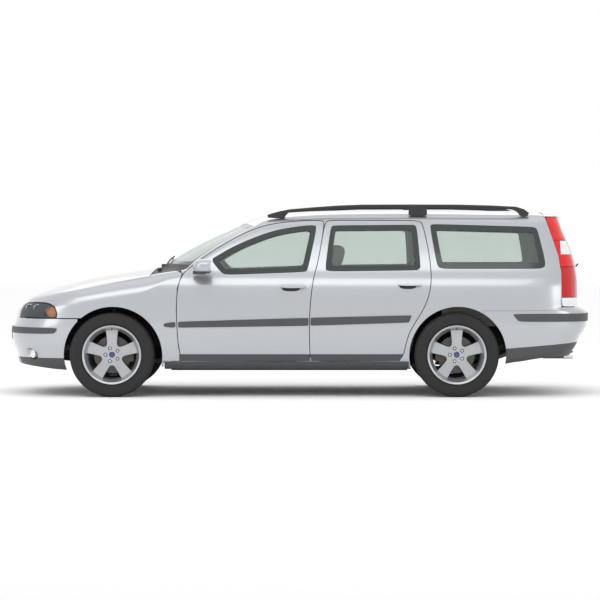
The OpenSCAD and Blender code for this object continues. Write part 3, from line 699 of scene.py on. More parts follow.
    def volume(self, t: float = 0.0, dense: bool = True) -> bpy.types.Object:
        """Closed solid of the whole body.

        Args:
            t: Distance in millimetres that the skin is moved in.
            dense: True for the shown skin.

        Returns:
            A new mesh object in metres.
        """
        counts = (56, 14, 26) if dense else (18, 6, 8)
        halves = [self.half_section(s, t, counts) for s in self.stations(dense)]
        rings = [np.vstack([h, h[-2:0:-1] * [1, -1, 1]]) for h in halves]
        h, n = len(halves[0]), len(rings[0])
        verts = np.vstack(rings) * MM
        faces: list[tuple[int, ...]] = []
        for i in range(len(rings) - 1):
            for j in range(n):
                k = (j + 1) % n
                faces.append((i * n + j, i * n + k, (i + 1) * n + k, (i + 1) * n + j))
        last = (len(rings) - 1) * n
        for j in range(h - 1):
            a, b = (n - j) % n, (n - j - 1) % n
            cap = [j, j + 1, b, a] if 0 < j < h - 2 else ([0, 1, b] if j == 0 else [j, j + 1, a])
            faces.append(tuple(reversed(cap)))
            faces.append(tuple(last + c for c in cap))
        return new_object("skin_tool", verts.tolist(), faces)


def new_object(name: str, verts: Sequence[Point3], faces: Sequence[Sequence[int]]) -> bpy.types.Object:
    """Makes a mesh object and links it to the scene.

    Args:
        name: Name of the object.
        verts: Vertices in metres.
        faces: Vertex numbers of each face.

    Returns:
        The new object.
    """
    mesh = bpy.data.meshes.new(name)
    mesh.from_pydata(verts, [], faces)
    mesh.validate()
    obj = bpy.data.objects.new(name, mesh)
    bpy.context.scene.collection.objects.link(obj)
    return obj


# ---------------------------------------------------------------------------------------------
# Outlines and cutting


def rounded(points: Sequence[Point2], radius: float = 22.0, passes: int = 2) -> Outline:
    """Rounds the corners of a closed outline and smooths its curved stretches.

    Args:
        points: Corners in millimetres.
        radius: How far from a sharp corner the rounding starts.
        passes: Rounds of corner cutting.

    Returns:
        The finer outline.
    """
    source = [np.array(p, dtype=float) for p in points]
    out: list[np.ndarray] = []
    for i, p in enumerate(source):
        a, b = source[i - 1], source[(i + 1) % len(source)]
        u, v = a - p, b - p
        lu, lv = np.linalg.norm(u), np.linalg.norm(v)
        turn = math.degrees(math.acos(float(np.clip(-u @ v / (lu * lv), -1, 1))))
        if turn > 28:
            out += [p + u / lu * min(radius, 0.45 * lu), p + v / lv * min(radius, 0.45 * lv)]
        else:
            out.append(p)
    for _ in range(passes):
        finer: list[np.ndarray] = []
        for i, p in enumerate(out):
            q = out[(i + 1) % len(out)]
            if np.linalg.norm(q - p) < 3:
                finer.append((p + q) / 2)
            else:
                cut = min(0.25, 60 / max(60.0, float(np.linalg.norm(q - p)))) * 1.0
                finer += [p + (q - p) * cut, q + (p - q) * cut]
        out = finer
    return [(float(p[0]), float(p[1])) for p in out]


def area_of(points: Sequence[Point2]) -> float:
    """Signed area of an outline, positive when it runs anticlockwise."""
    return 0.5 * sum(
        a[0] * b[1] - b[0] * a[1] for a, b in zip(points, list(points[1:]) + [points[0]])
    )


def grown(points: Sequence[Point2], by: float) -> Outline:
    """Moves an outline outwards.

    Args:
        points: Closed outline.
        by: Distance in millimetres, negative to move it inwards.

    Returns:
        The moved outline.
    """
    pts = [Vector(p) for p in points]
    turn = 1 if area_of(points) > 0 else -1
    out: Outline = []
    for i, p in enumerate(pts):
        a, b = pts[i - 1], pts[(i + 1) % len(pts)]
        u, v = (p - a).normalized(), (b - p).normalized()
        n1, n2 = Vector((u.y, -u.x)) * turn, Vector((v.y, -v.x)) * turn
        mean = n1 + n2
        mean = n1 if mean.length < 1e-6 else mean.normalized()
        reach = by / max(0.5, mean.dot(n1))
        out.append((p.x + mean.x * reach, p.y + mean.y * reach))
    if by > -8:
        return out
    # a corner that came nearer to the outline than the offset belongs to a loop and is left out
    starts, ends = np.array(points, dtype=float), np.roll(np.array(points, dtype=float), -1, axis=0)
    along = ends - starts
    length = np.maximum((along**2).sum(axis=1), 1e-9)
    kept: Outline = []
    for q in out:
        share = np.clip(((np.array(q) - starts) * along).sum(axis=1) / length, 0, 1)
        away = np.linalg.norm(starts + along * share[:, None] - np.array(q), axis=1).min()
        if away > -by * 0.96:
            kept.append(q)
    return kept


def mirrored(points: Sequence[Point2]) -> Outline:
    """Closes a half outline with its mirror image in the first coordinate."""
    return list(points) + [(-x, z) for x, z in reversed(points) if abs(x) > 1e-6]


def prism(points: Sequence[Point2], plane: Plane, low: float, high: float) -> bpy.types.Object:
    """Solid made by drawing an outline in a plane and pulling it through the third direction.

    Args:
        points: Closed outline in millimetres.
        plane: Plane of the outline.
        low: Start along the third direction.
        high: End along the third direction.

    Returns:
        A new mesh object.
    """
    pts = list(points)
    place: dict[Plane, Callable[[Point2, float], Point3]] = {
        Plane.SIDE: lambda p, d: (p[0] * MM, d * MM, p[1] * MM),
        Plane.PLAN: lambda p, d: (p[0] * MM, p[1] * MM, d * MM),
        Plane.REAR: lambda p, d: (d * MM, p[0] * MM, p[1] * MM),
    }
    put = place[plane]
    n = len(pts)
    verts = [put(p, low) for p in pts] + [put(p, high) for p in pts]
    faces = [list(range(n)), list(range(2 * n - 1, n - 1, -1))]
    faces += [[(i + 1) % n, i, n + i, n + (i + 1) % n] for i in range(n)]
    obj = new_object("prism_tool", verts, faces)
    face_outwards(obj)
    return obj


def side_cut(points: Sequence[Point2], radius: float, low: float = 300, high: float = BIG) -> bpy.types.Object:
    """Prism through the left side from an outline whose corners are rounded."""
    return prism(rounded(points, radius), Plane.SIDE, low, high)


def rear_cut(half: Sequence[Point2], radius: float, low: float, high: float) -> bpy.types.Object:
    """Prism along the car from the left half of an outline, mirrored and rounded."""
    return prism(rounded(mirrored(half), radius), Plane.REAR, low, high)


def face_outwards(obj: bpy.types.Object) -> None:
    """Turns every face of a closed mesh outwards."""
    bm = bmesh.new()
    bm.from_mesh(obj.data)
    bmesh.ops.triangulate(bm, faces=[f for f in bm.faces if len(f.verts) > 4])
    bmesh.ops.recalc_face_normals(bm, faces=bm.faces)
    bm.to_mesh(obj.data)
    bm.free()


def block(low: Point3, high: Point3) -> bpy.types.Object:
    """Box-shaped cutting tool between two corners in millimetres."""
    corners = [(low[0], low[1]), (high[0], low[1]), (high[0], high[1]), (low[0], high[1])]
    return prism(corners, Plane.PLAN, low[2], high[2])


def disc_points(centre: Point2, radius: float, count: int = 120) -> Outline:
    """Points round a circle."""
    turn = [2 * math.pi * i / count for i in range(count)]
    return [(centre[0] + radius * math.cos(a), centre[1] + radius * math.sin(a)) for a in turn]


def combine(obj: bpy.types.Object, tool: bpy.types.Object, how: str, keep: bool = False) -> bpy.types.Object:
    """Joins, cuts or keeps the common part of two closed meshes.

    Args:
        obj: Mesh that is changed.
        tool: Second mesh.
        how: UNION, DIFFERENCE or INTERSECT.
        keep: True to leave the second mesh in the scene.

    Returns:
        The changed mesh.
    """
    modifier = obj.modifiers.new("cut", "BOOLEAN")
    modifier.operation = how
    modifier.solver = "MANIFOLD"
    modifier.object = tool
    apply_modifiers(obj)
    if not keep:
        drop(tool)
    return obj


def apply_modifiers(obj: bpy.types.Object) -> None:
    """Replaces an object's mesh with what its modifiers make of it."""
    graph = bpy.context.evaluated_depsgraph_get()
    mesh = bpy.data.meshes.new_from_object(obj.evaluated_get(graph))
    old = obj.data
    obj.modifiers.clear()
    obj.data = mesh
    bpy.data.meshes.remove(old)


def drop(obj: bpy.types.Object) -> None:
    """Removes a tool and its mesh."""
    mesh = obj.data
    bpy.data.objects.remove(obj)
    bpy.data.meshes.remove(mesh)


def clone(obj: bpy.types.Object, name: str) -> bpy.types.Object:
    """Copies an object with a mesh of its own."""
    copy = obj.copy()
    copy.data = obj.data.copy()
    copy.name = name
    bpy.context.scene.collection.objects.link(copy)
    return copy


def flip_over(obj: bpy.types.Object) -> bpy.types.Object:
    """Mirrors a mesh to the other side of the car."""
    obj.data.transform(Matrix.Scale(-1, 4, (0, 1, 0)))
    obj.data.flip_normals()
    return obj


def finish_piece(
    obj: bpy.types.Object, name: str, body: str, finish: Finish, angle: float = 35.0
) -> bpy.types.Object:
    """Names, dresses and mounts a piece on its body.

    Args:
        obj: Piece to finish.
        name: Name of the piece.
        body: Body that it rides on.
        finish: Its finish.
        angle: Largest angle between faces that is shaded as one surface, in degrees.

    Returns:
        The same object.
    """
    obj.name = name
    obj.data.name = name
    obj.data.materials.clear()
    obj.data.materials.append(finish.make())
    if obj.type == "MESH" and not obj.data.has_custom_normals:
        obj.data.polygons.foreach_set("use_smooth", [True] * len(obj.data.polygons))
        obj.data.set_sharp_from_angle(angle=math.radians(angle))
    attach(obj, body)
    LOG.info("%s rides on %s", name, body)
    return obj


@dataclass
class Skin:
    """Cuts panels from the body surface and gives them the surface's own normals."""

    surface: BodySurface
    volumes: dict[float, bpy.types.Object] = field(default_factory=dict)
    tree: BVHTree | None = None
    normals: np.ndarray | None = None
    points: np.ndarray | None = None
    faces: list[tuple[int, ...]] = field(default_factory=list)

    def volume(self, t: float, dense: bool) -> bpy.types.Object:
        """Volume moved in by t, made once and kept out of sight."""
        key = t + (0.0001 if dense else 0)
        if key not in self.volumes:
            obj = self.surface.volume(t, dense)
            face_outwards(obj)
            self.volumes[key] = obj
        return self.volumes[key]

    def prepare(self) -> None:
        """Keeps the outer surface's faces and normals for shading."""
        mesh = self.volume(0, True).data
        verts = [v.co.copy() for v in mesh.vertices]
        faces = [tuple(p.vertices) for p in mesh.polygons]
        self.tree = BVHTree.FromPolygons(verts, faces)
        self.normals = np.array([v.normal[:] for v in mesh.vertices])
        self.points = np.array([v[:] for v in verts])
        self.faces = faces

    def shell(self, depth: float, thickness: float, masks: Sequence[bpy.types.Object]) -> bpy.types.Object:
        """Part of the skin between two depths inside every mask.

        Args:
            depth: How far the outer face lies below the skin, in millimetres.
            thickness: Thickness in millimetres.
            masks: Solids that bound it; they are used up.

        Returns:
            A new closed mesh.
        """
        obj = clone(self.volume(depth, True), "panel")
        for mask in masks:
            combine(obj, mask, "INTERSECT")
        return combine(obj, self.volume(depth + thickness, abs(thickness) < 12), "DIFFERENCE", keep=True)

    def shade(self, obj: bpy.types.Object, reach: float = 30.0) -> None:
        """Gives faces that follow the skin the skin's normals, so that light runs on unbroken.

        Args:
            obj: Panel to shade.
            reach: How far from the skin a face may lie, in millimetres.
        """
        mesh = obj.data
        mesh.polygons.foreach_set("use_smooth", [True] * len(mesh.polygons))
        mesh.set_sharp_from_angle(angle=math.radians(30))
        loops = [Vector(n.vector) for n in mesh.corner_normals]
        cache: dict[int, Vector] = {}
        for poly in mesh.polygons:
            near, normal, _, distance = self.tree.find_nearest(poly.center)
            if near is None or distance > reach * MM or poly.normal.dot(normal) < 0.9:
                continue
            for corner in poly.loop_indices:
                vertex = mesh.loops[corner].vertex_index
                if vertex not in cache:
                    cache[vertex] = self.smooth_normal(mesh.vertices[vertex].co)
                loops[corner] = cache[vertex]
        mesh.normals_split_custom_set([tuple(n) for n in loops])

    def smooth_normal(self, at: Vector) -> Vector:
        """Normal of the skin nearest to a point, blended between the corners of its face."""
        near, _, index, _ = self.tree.find_nearest(at)
        ids = list(self.faces[index])
        away = np.linalg.norm(self.points[ids] - np.array(near[:]), axis=1)
        weight = 1 / (away + 1e-5)
        normal = (self.normals[ids] * weight[:, None]).sum(axis=0)
        return Vector(normal).normalized()

    def clear(self) -> None:
        """Removes the hidden volumes."""
        for obj in self.volumes.values():
            drop(obj)
        self.volumes.clear()


# ---------------------------------------------------------------------------------------------
# Lines of the body


@dataclass(frozen=True)
class BodyLines:
    """Outlines of every panel, in millimetres, in the plane each is drawn in."""

    gap: float = 6.0
    seam: float = 2.0
    front_edge: Sequence[Point2] = (
        (926, 290), (953, 390), (964, 499), (968, 600), (972, 712), (964, 870), (926, 987),
    )
    front_top: Sequence[Point2] = (
        (821, 1072), (685, 1168), (485, 1287), (314, 1362), (145, 1397), (-26, 1412), (-218, 1416),
    )
    b_line: Sequence[Point2] = (
        (-161, 1088), (-121, 949), (-98, 768), (-88, 608), (-92, 395), (-98, 288),
    )
    rear_edge: Sequence[Point2] = (
        (-1000, 1412), (-1048, 1167), (-1066, 986), (-1054, 848), (-1010, 720), (-943, 613),
        (-886, 516), (-859, 420), (-847, 362), (-836, 336), (-814, 290),
    )
    window_front: Sequence[Point2] = (
        (600, 975), (-59, 999), (-76, 1013), (-156, 1381), (31, 1363), (201, 1331), (370, 1271),
        (539, 1196), (673, 1115), (700, 1095),
    )
    window_rear: Sequence[Point2] = (
        (-211, 1003), (-945, 1012), (-972, 1022), (-980, 1045), (-956, 1368), (-930, 1379),
        (-280, 1374), (-262, 1360),
    )
    window_quarter: Sequence[Point2] = (
        (-1060, 1372), (-1080, 1385), (-1910, 1362), (-1929, 1340), (-1987, 1060), (-1959, 1024),
        (-1139, 1023), (-1111, 1050),
    )
    lamp_tail: Sequence[Point2] = (
        (-1997, 1443), (-2054, 1257), (-2091, 1129), (-2108, 1001), (-2105, 722), (-2400, 722),
        (-2400, 1443),
    )
    lamp_front: Sequence[Point2] = (
        (1923, 640), (1930, 700), (1962, 745), (2060, 757), (2500, 752), (2500, 627), (1940, 627),
    )
    gate: Sequence[Point2] = (
        (0, 724), (632, 724), (640, 800), (622, 1000), (585, 1140), (545, 1257), (478, 1380),
        (452, 1450), (440, 1600), (0, 1600),
    )
    gate_glass: Sequence[Point2] = (
        (0, 1050), (540, 1050), (552, 1070), (536, 1150), (502, 1250), (446, 1360), (420, 1395),
        (0, 1405),
    )
    nose_panel: Sequence[Point2] = ((0, 180), (470, 180), (470, 748), (0, 762))
    bonnet_side: Sequence[Point2] = (
        (1290, 790), (1500, 772), (1760, 728), (1960, 655), (2110, 560), (2190, 470), (2290, 300),
        (2420, 0),
    )
    front_arch: Point3 = (1480, 328, 395)
    rear_arch: Point3 = (-1275, 335, 388)
    screen_base: float = 1078
    screen_head: float = 446
    bonnet_rear: float = 1160
    roof_edge: float = 548
    roof_end: float = -1990

    def door_front(self) -> Outline:
        """Edge of a front door."""
        return [*self.front_edge, *self.front_top, *self.b_line]

    def door_rear(self) -> Outline:
        """Edge of a rear door."""
        return [(-218, 1416), *self.rear_edge, *reversed(self.b_line)]

    def across(self, x: float, y: float, surface: BodySurface) -> Outline:
        """Line across the left half of the car that follows the bow."""
        return [
            (x - float(surface.read("bow", x)) * (y * k / 16 / surface.bow_y) ** 2, y * k / 16)
            for k in range(17)
        ]

    def bonnet_back(self, y: float) -> Outline:
        """Rear edge of the bonnet over the left half."""
        return [(self.bonnet_rear + 26 * (y * k / 8 / 775) ** 2, y * k / 8) for k in range(9)]

    def bonnet(self) -> Outline:
        """Plan edge of the whole bonnet."""
        half = [*self.bonnet_back(775), *self.bonnet_side]
        return half + [(x, -y) for x, y in reversed(half) if y > 0]

    def screen(self, surface: BodySurface) -> Outline:
        """Plan edge of the whole windscreen opening."""
        half = [
            *self.across(self.screen_base, 742, surface),
            *reversed(self.across(self.screen_head, 585, surface)),
        ]
        return half + [(x, -y) for x, y in reversed(half) if y > 0]

    def cowl(self, surface: BodySurface) -> Outline:
        """Plan edge of the whole cowl."""
        half = [*self.across(self.screen_base, 742, surface)]
        back = [*reversed(self.bonnet_back(742))]
        left = half + back
        return left + [(x, -y) for x, y in reversed(left) if y > 0]


@dataclass
class BodyPanels:
    """Outer panels: sides, wings, doors, bonnet, roof, tailgate, bumpers and cowl."""

    skin: Skin
    lines: BodyLines
    door_thick: float = 60
    frame_thick: float = 34
    side_thick: float = 40
    wing_thick: float = 16
    roof_thick: float = 28
    bumper_thick: float = 30

    def side_mask(
        self,
        points: Sequence[Point2],
        low: float = 300,
        grow: float = 0,
        radius: float = 22,
    ) -> bpy.types.Object:
        """Mask over the left half from a side-view outline."""
        return prism(grown(rounded(points, radius), grow) if radius else grown(points, grow), Plane.SIDE, low, BIG)

    def pair(
        self,
        left: bpy.types.Object,
        name: str,
        finish: Finish,
        slot: str,
        node: str = "",
        body: str = "",
        reach: float = 30,
    ) -> list[bpy.types.Object]:
        """Finishes a left-hand piece and its mirror image.

        Args:
            left: Left piece.
            name: Name without the side.
            finish: Finish of both.
            slot: Not used.
            node: CAD node that each stands for, without the side, or nothing.
            body: Body without the side, or nothing for the main body.
            reach: How near the skin a face is to take its normals, in millimetres.

        Returns:
            Both pieces.
        """
        right = flip_over(clone(left, "right"))
        done = []
        for side, obj in ((Side.LEFT, left), (Side.RIGHT, right)):
            self.skin.shade(obj, reach)
            rider = f"{body}_{side.word}" if body else "body"
            finish_piece(obj, f"{name}_{side.word}", rider, finish)
            if node:
                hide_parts(f"{node}_{side.word}")
            done.append(obj)
        return done

    def single(
        self,
        obj: bpy.types.Object,
        name: str,
        finish: Finish,
        slot: str,
        body: str = "body",
        node: str = "",
    ) -> bpy.types.Object:
        """Finishes one piece that spans the car."""
        self.skin.shade(obj)
        finish_piece(obj, name, body, finish)
        if node:
            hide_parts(node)
        return obj

    def door(self, outline: Outline, window: Sequence[Point2]) -> bpy.types.Object:
        """Left door with its window cut out."""
        lines = self.lines
        obj = self.skin.shell(0, self.door_thick, [self.side_mask(outline, 0.5, -lines.gap / 2, 26)])
        combine(obj, self.side_mask(window, 300, 0, 24), "DIFFERENCE")
        frame = self.skin.volume(self.frame_thick, False)
        slab = clone(frame, "slab")
        combine(slab, block((-1500, 0, 1010), (1500, 1200, 1700)), "INTERSECT")
        return combine(obj, slab, "DIFFERENCE")

    def pane(
        self,
        window: Sequence[Point2],
        plane: Plane = Plane.SIDE,
        low: float = 300,
        high: float = BIG,
    ) -> bpy.types.Object:
        """Glass for one window."""
        points = rounded(window, 24)
        return self.skin.shell(9, 4, [prism(grown(points, 1.5), plane, low, high)])

    def seal(
        self,
        window: Sequence[Point2],
        width: float,
        depth: float = 2.5,
        plane: Plane = Plane.SIDE,
        low: float = 300,
        high: float = BIG,
    ) -> bpy.types.Object:
        """Dark band round the inside of a window opening."""
        points = rounded(window, 24)
        obj = self.skin.shell(depth, 9, [prism(grown(points, 1.0), plane, low, high)])
        return combine(obj, prism(grown(points, -width), plane, low - 10, high + 10), "DIFFERENCE")

    def build_doors(self) -> None:
        """Doors, their glass and their seals."""
        lines = self.lines
        for word, outline, window in (
            ("front", lines.door_front(), lines.window_front),
            ("rear", lines.door_rear(), lines.window_rear),
        ):
            body = f"door_{word}"
            self.pair(self.door(outline, window), f"door_{word}", PAINT, "silver_paint", f"door_{word}", body)
            self.pair(self.pane(window), f"glass_{word}", GLASS, "glass", f"glass_{word}", body)
            self.pair(self.seal(window, 42), f"window_seal_{word}", SEAL, "dark_plastic", "", body)

    def build_sides(self) -> None:
        """Body sides with quarter glass."""
        lines, skin = self.lines, self.skin
        outline = [
            (1020, 221), (1071, 221), (1071, 287), (936, 287), (936, 1010), (1012, 1018), (1012, 1100),
            (700, 1300), (300, 1600), (-1988, 1600), (-2200, 1443), (-2200, 724), (-2104, 724),
            (-2104, 692), (-1480, 692), (-1480, 221),
        ]
        obj = skin.shell(0, self.side_thick, [prism(outline, Plane.SIDE, 300, BIG)])
        cuts = [
            self.side_mask(lines.door_front(), 290, lines.gap / 2, 26),
            self.side_mask(lines.door_rear(), 290, lines.gap / 2, 26),
            self.side_mask(lines.window_quarter, 290, 0, 24),
            prism(
                grown([*lines.front_edge, (950, 1002), (1400, 1060), (1400, 287)], lines.gap / 2),
                Plane.SIDE,
                290,
                BIG,
            ),
            prism(grown(lines.bonnet(), lines.gap / 2), Plane.PLAN, 600, 1300),
            prism(lines.screen(skin.surface), Plane.PLAN, 900, 1600),
            prism(grown(lines.cowl(skin.surface), lines.seam), Plane.PLAN, 850, 1300),
            prism(grown(lines.lamp_tail, lines.seam), Plane.SIDE, 290, BIG),
            prism(grown(rounded(mirrored(lines.gate), 20), lines.gap / 2), Plane.REAR, -2450, lines.roof_end + 3),
            block((lines.roof_end + 3, -1000, 1200), (700, lines.roof_edge + lines.seam, 1700)),
            prism(disc_points(lines.rear_arch[:2], lines.rear_arch[2]), Plane.SIDE, 290, BIG),
        ]
        for cut in cuts:
            combine(obj, cut, "DIFFERENCE")
        self.pair(obj, "body_side", PAINT, "silver_paint", "body_side")
        self.pair(self.pane(lines.window_quarter), "glass_quarter", GLASS, "glass", "glass_quarter")
        self.pair(self.seal(lines.window_quarter, 46), "frit_quarter", FRIT, "dark_plastic")
        for word, points in (
            (
                "b",
                [
                    (-150, 262), (-20, 262), (-40, 700), (-70, 949), (-130, 1250), (-150, 1430), (-290, 1430),
                    (-230, 1088), (-175, 949),
                ],
            ),
            (
                "c",
                [
                    (-880, 262), (-780, 262), (-790, 400), (-880, 620), (-960, 800), (-990, 986), (-960, 1430),
                    (-1080, 1430), (-1130, 986), (-1110, 780), (-1010, 640), (-950, 560),
                ],
            ),
            ("a", [(860, 262), (960, 262), (990, 700), (960, 1000), (860, 1000)]),
        ):
            lower = skin.shell(98, 32, [side_cut(points, 20), block((-1500, 0, 0), (1500, 1200, 1040))])
            self.pair(lower, f"pillar_{word}_lower", SOFT_DASH, "dark_plastic")
            if word != "a":
                upper = skin.shell(48, 40, [side_cut(points, 20), block((-1500, 0, 992), (1500, 1200, 1700))])
                self.pair(upper, f"pillar_{word}_upper", SOFT_DASH, "dark_plastic")

    def build_front(self) -> None:
        """Bonnet, wings, cowl and front bumper."""
        lines, skin = self.lines, self.skin
        bonnet = skin.shell(0, self.wing_thick, [
            prism(grown(lines.bonnet(), -lines.gap / 2), Plane.PLAN, 600, 1300),
            block((900, -900, 764), (2400, 900, 1300)),
        ])
        self.single(bonnet, "bonnet", PAINT, "silver_paint", "bonnet", "bonnet")
        outline = [
            (930, 287), *lines.front_edge, (950, 1002), (1100, 1040), (1400, 1080), (2420, 900),
            (2420, 629), (1700, 629), (1700, 240), (1073, 240), (1073, 287),
        ]
        wing = skin.shell(0, self.wing_thick, [prism(grown(outline, -lines.gap / 2), Plane.SIDE, 300, BIG)])
        for cut in (
            prism(grown(lines.bonnet(), lines.gap / 2), Plane.PLAN, 600, 1300),
            prism(grown(lines.cowl(skin.surface), lines.seam), Plane.PLAN, 850, 1300),
            prism(grown(rounded(lines.lamp_front, 30), lines.seam), Plane.SIDE, 290, BIG),
            block((2000, -500, 0), (2500, 472, 900)),
            prism(disc_points(lines.front_arch[:2], lines.front_arch[2]), Plane.SIDE, 290, BIG),
        ):
            combine(wing, cut, "DIFFERENCE")
        self.pair(wing, "wing", PAINT, "silver_paint", "wing")
        cowl = skin.shell(4, 30, [prism(grown(lines.cowl(skin.surface), -3), Plane.PLAN, 850, 1300)])
        for row in range(-9, 10):
            if abs(row) > 1:
                combine(cowl, block((1108, row * 60 - 22, 900), (1118, row * 60 + 22, 1200)), "DIFFERENCE")
        self.single(cowl, "cowl", BLACK_PLASTIC, "dark_plastic", node="cowl")
        lower = block((1762, -1000, 310.5), (2400, 1000, 624))
        combine(lower, prism(grown(mirrored(lines.nose_panel), -lines.seam), Plane.REAR, 2000, 2400), "UNION")
        bumper = skin.shell(0, self.bumper_thick, [lower])
        cuts = [
            prism(disc_points(lines.front_arch[:2], lines.front_arch[2]), Plane.SIDE, -BIG, BIG),
            prism(grown(lines.bonnet(), lines.gap / 2), Plane.PLAN, 600, 1300),
            rear_cut([(0, 296), (330, 296), (345, 362), (330, 428), (0, 428)], 30, 2150, 2450),
            rear_cut([(0, 596), (262, 596), (322, 724), (0, 724)], 26, 2150, 2450),
            prism(disc_points((-420, 405), 24, 40), Plane.REAR, 2150, 2450),
        ]
        for sign in (1, -1):
            cuts.append(prism(disc_points((sign * 690, 342), 47, 60), Plane.REAR, 1990, 2450))
        for cut in cuts:
            combine(bumper, cut, "DIFFERENCE")
        self.single(bumper, "front_bumper", PAINT, "silver_paint", node="front_bumper")

    def build_rear(self) -> None:
        """Tailgate with its glass, and rear bumper."""
        lines, skin = self.lines, self.skin
        gate = rounded(mirrored(lines.gate), 20)
        inside = prism(grown(gate, -lines.gap / 2), Plane.REAR, -2450, lines.roof_end - lines.gap / 2)
        tailgate = skin.shell(0, 7, [inside])
        deep = prism(grown(gate, -46), Plane.REAR, -2450, lines.roof_end - 46)
        combine(tailgate, skin.shell(3, 32, [deep]), "UNION")
        glass = mirrored(lines.gate_glass)
        combine(tailgate, prism(rounded(glass, 30), Plane.REAR, -2450, -2080), "DIFFERENCE")
        combine(tailgate, rear_cut([(0, 868), (265, 868), (255, 985), (0, 985)], 20, -2450, -2262), "DIFFERENCE")
        self.single(tailgate, "tailgate", PAINT, "silver_paint", "tailgate", "tailgate")
        pane = self.pane(glass, Plane.REAR, -2450, -2080)
        self.single(pane, "glass_tailgate", GLASS, "glass", "tailgate", "glass_tailgate")
        frit = self.seal(glass, 30, 2.5, Plane.REAR, -2450, -2080)
        self.single(frit, "frit_tailgate", FRIT, "dark_plastic", "tailgate")
        plate_panel = skin.shell(14, 6, [rear_cut([(0, 866), (268, 866), (258, 988), (0, 988)], 20, -2450, -2240)])
        self.single(plate_panel, "plate_recess", PAINT, "silver_paint", "tailgate")
        plate = skin.shell(9, 2, [rear_cut([(0, 876), (250, 876), (250, 974), (0, 974)], 6, -2450, -2240)])
        self.single(plate, "blank_plate_rear", PALE_PLATE, "silver_paint", "tailgate")
        handle = skin.shell(-8, 14, [rear_cut([(0, 990), (250, 990), (246, 1014), (0, 1014)], 9, -2450, -2220)])
        self.single(handle, "tailgate_grip", PAINT, "silver_paint", "tailgate")
        upper = block((-2400, -1000, 200), (-1482, 1000, 690))
        combine(upper, block((-2400, -1000, 300), (-2107, 1000, 718)), "UNION")
        bumper = skin.shell(0, self.bumper_thick, [upper])
        for cut in (
            prism(self.apron(0.5), Plane.SIDE, -BIG, BIG),
            prism(disc_points(lines.rear_arch[:2], lines.rear_arch[2]), Plane.SIDE, -BIG, BIG),
            prism(rounded([(438, 180), (522, 180), (522, 368), (438, 368)], 24), Plane.REAR, -2450, -2030),
        ):
            combine(bumper, cut, "DIFFERENCE")
        self.single(bumper, "rear_bumper", PAINT, "silver_paint", node="rear_bumper")

    def build_top(self) -> None:
        """Roof panel and windscreen."""
        lines, skin = self.lines, self.skin
        roof = skin.shell(
            0,
            self.roof_thick,
            [block((lines.roof_end + 6, -lines.roof_edge, 1250), (700, lines.roof_edge, 1600))],
        )
        header = [*lines.across(lines.screen_head, 900, skin.surface)]
        front = header + [(1400, 900)] + [(1400, -900)] + [(x, -y) for x, y in reversed(header) if y > 0]
        combine(roof, prism(front, Plane.PLAN, 900, 1650), "DIFFERENCE")
        self.single(roof, "roof_panel", PAINT, "silver_paint", node="roof_panel")
        screen = skin.shell(7, 5, [prism(grown(lines.screen(skin.surface), -1), Plane.PLAN, 900, 1600)])
        self.single(screen, "windscreen", GLASS, "glass", node="windscreen")
        band = skin.shell(5, 3, [prism(grown(lines.screen(skin.surface), -1), Plane.PLAN, 900, 1600)])
        combine(band, prism(grown(rounded(lines.screen(skin.surface), 60), -34), Plane.PLAN, 850, 1650), "DIFFERENCE")
        self.single(band, "frit_windscreen", FRIT, "dark_plastic")

    def apron(self, by: float) -> Outline:
        """Side-view outline of the dark lower part of the rear bumper."""
        return [(-1482, 190 + by), (-1482, 380 + by), (-1650, 386 + by), (-2420, 450 + by), (-2420, 190 + by)]

    def strip(
        self,
        points: Sequence[Point2],
        name: str,
        body: str = "",
        proud: float = 7,
        finish: Finish = TRIM,
    ) -> None:
        """Moulding that stands a little out of the side, on both sides of the car."""
        obj = self.skin.shell(-proud, proud - 1, [prism(points, Plane.SIDE, 300, BIG)])
        self.pair(obj, name, finish, "dark_plastic", "", body, 40)

    def build_trim(self) -> None:
        """Rub strips, bumper strips, bumper lip and apron, sills and door skirts."""
        skin, lines = self.skin, self.lines
        self.strip(rounded([(1081, 577), (1060, 560), (978, 556), (978, 604), (1060, 592)], 10), "rub_strip_wing")
        self.strip(rounded([(957, 556), (-82, 571), (-82, 635), (957, 604)], 4), "rub_strip_front", "door_front")
        self.strip(rounded([(-98, 572), (-884, 597), (-905, 655), (-98, 636)], 5), "rub_strip_rear", "door_rear")
        front = skin.shell(-7, 6, [side_cut([(1950, 504), (1924, 553), (2420, 556), (2420, 504)], 14, -BIG, BIG)])
        self.single(front, "bumper_strip_front", TRIM, "dark_plastic")
        rear = skin.shell(-7, 6, [side_cut([(-1760, 603), (-1706, 666), (-2450, 668), (-2450, 603)], 14, -BIG, BIG)])
        self.single(rear, "bumper_strip_rear", TRIM, "dark_plastic")
        lip = skin.shell(0, 28, [block((1762, -1000, 150), (2400, 1000, 309.5))])
        for cut in (
            rear_cut([(0, 296), (330, 296), (345, 362), (330, 428), (0, 428)], 30, 2150, 2450),
            prism(disc_points((690, 342), 47, 60), Plane.REAR, 1990, 2450),
            prism(disc_points((-690, 342), 47, 60), Plane.REAR, 1990, 2450),
            prism(disc_points(lines.front_arch[:2], lines.front_arch[2]), Plane.SIDE, -BIG, BIG),
        ):
            combine(lip, cut, "DIFFERENCE")
        self.single(lip, "bumper_lip_front", TRIM, "dark_plastic")
        apron = skin.shell(0, 28, [prism(self.apron(-0.5), Plane.SIDE, -BIG, BIG)])
        for cut in (
            prism(disc_points(lines.rear_arch[:2], lines.rear_arch[2]), Plane.SIDE, -BIG, BIG),
            prism(rounded([(438, 180), (522, 180), (522, 368), (438, 368)], 24), Plane.REAR, -2450, -2030),
        ):
            combine(apron, cut, "DIFFERENCE")
        self.single(apron, "bumper_apron_rear", TRIM, "dark_plastic")
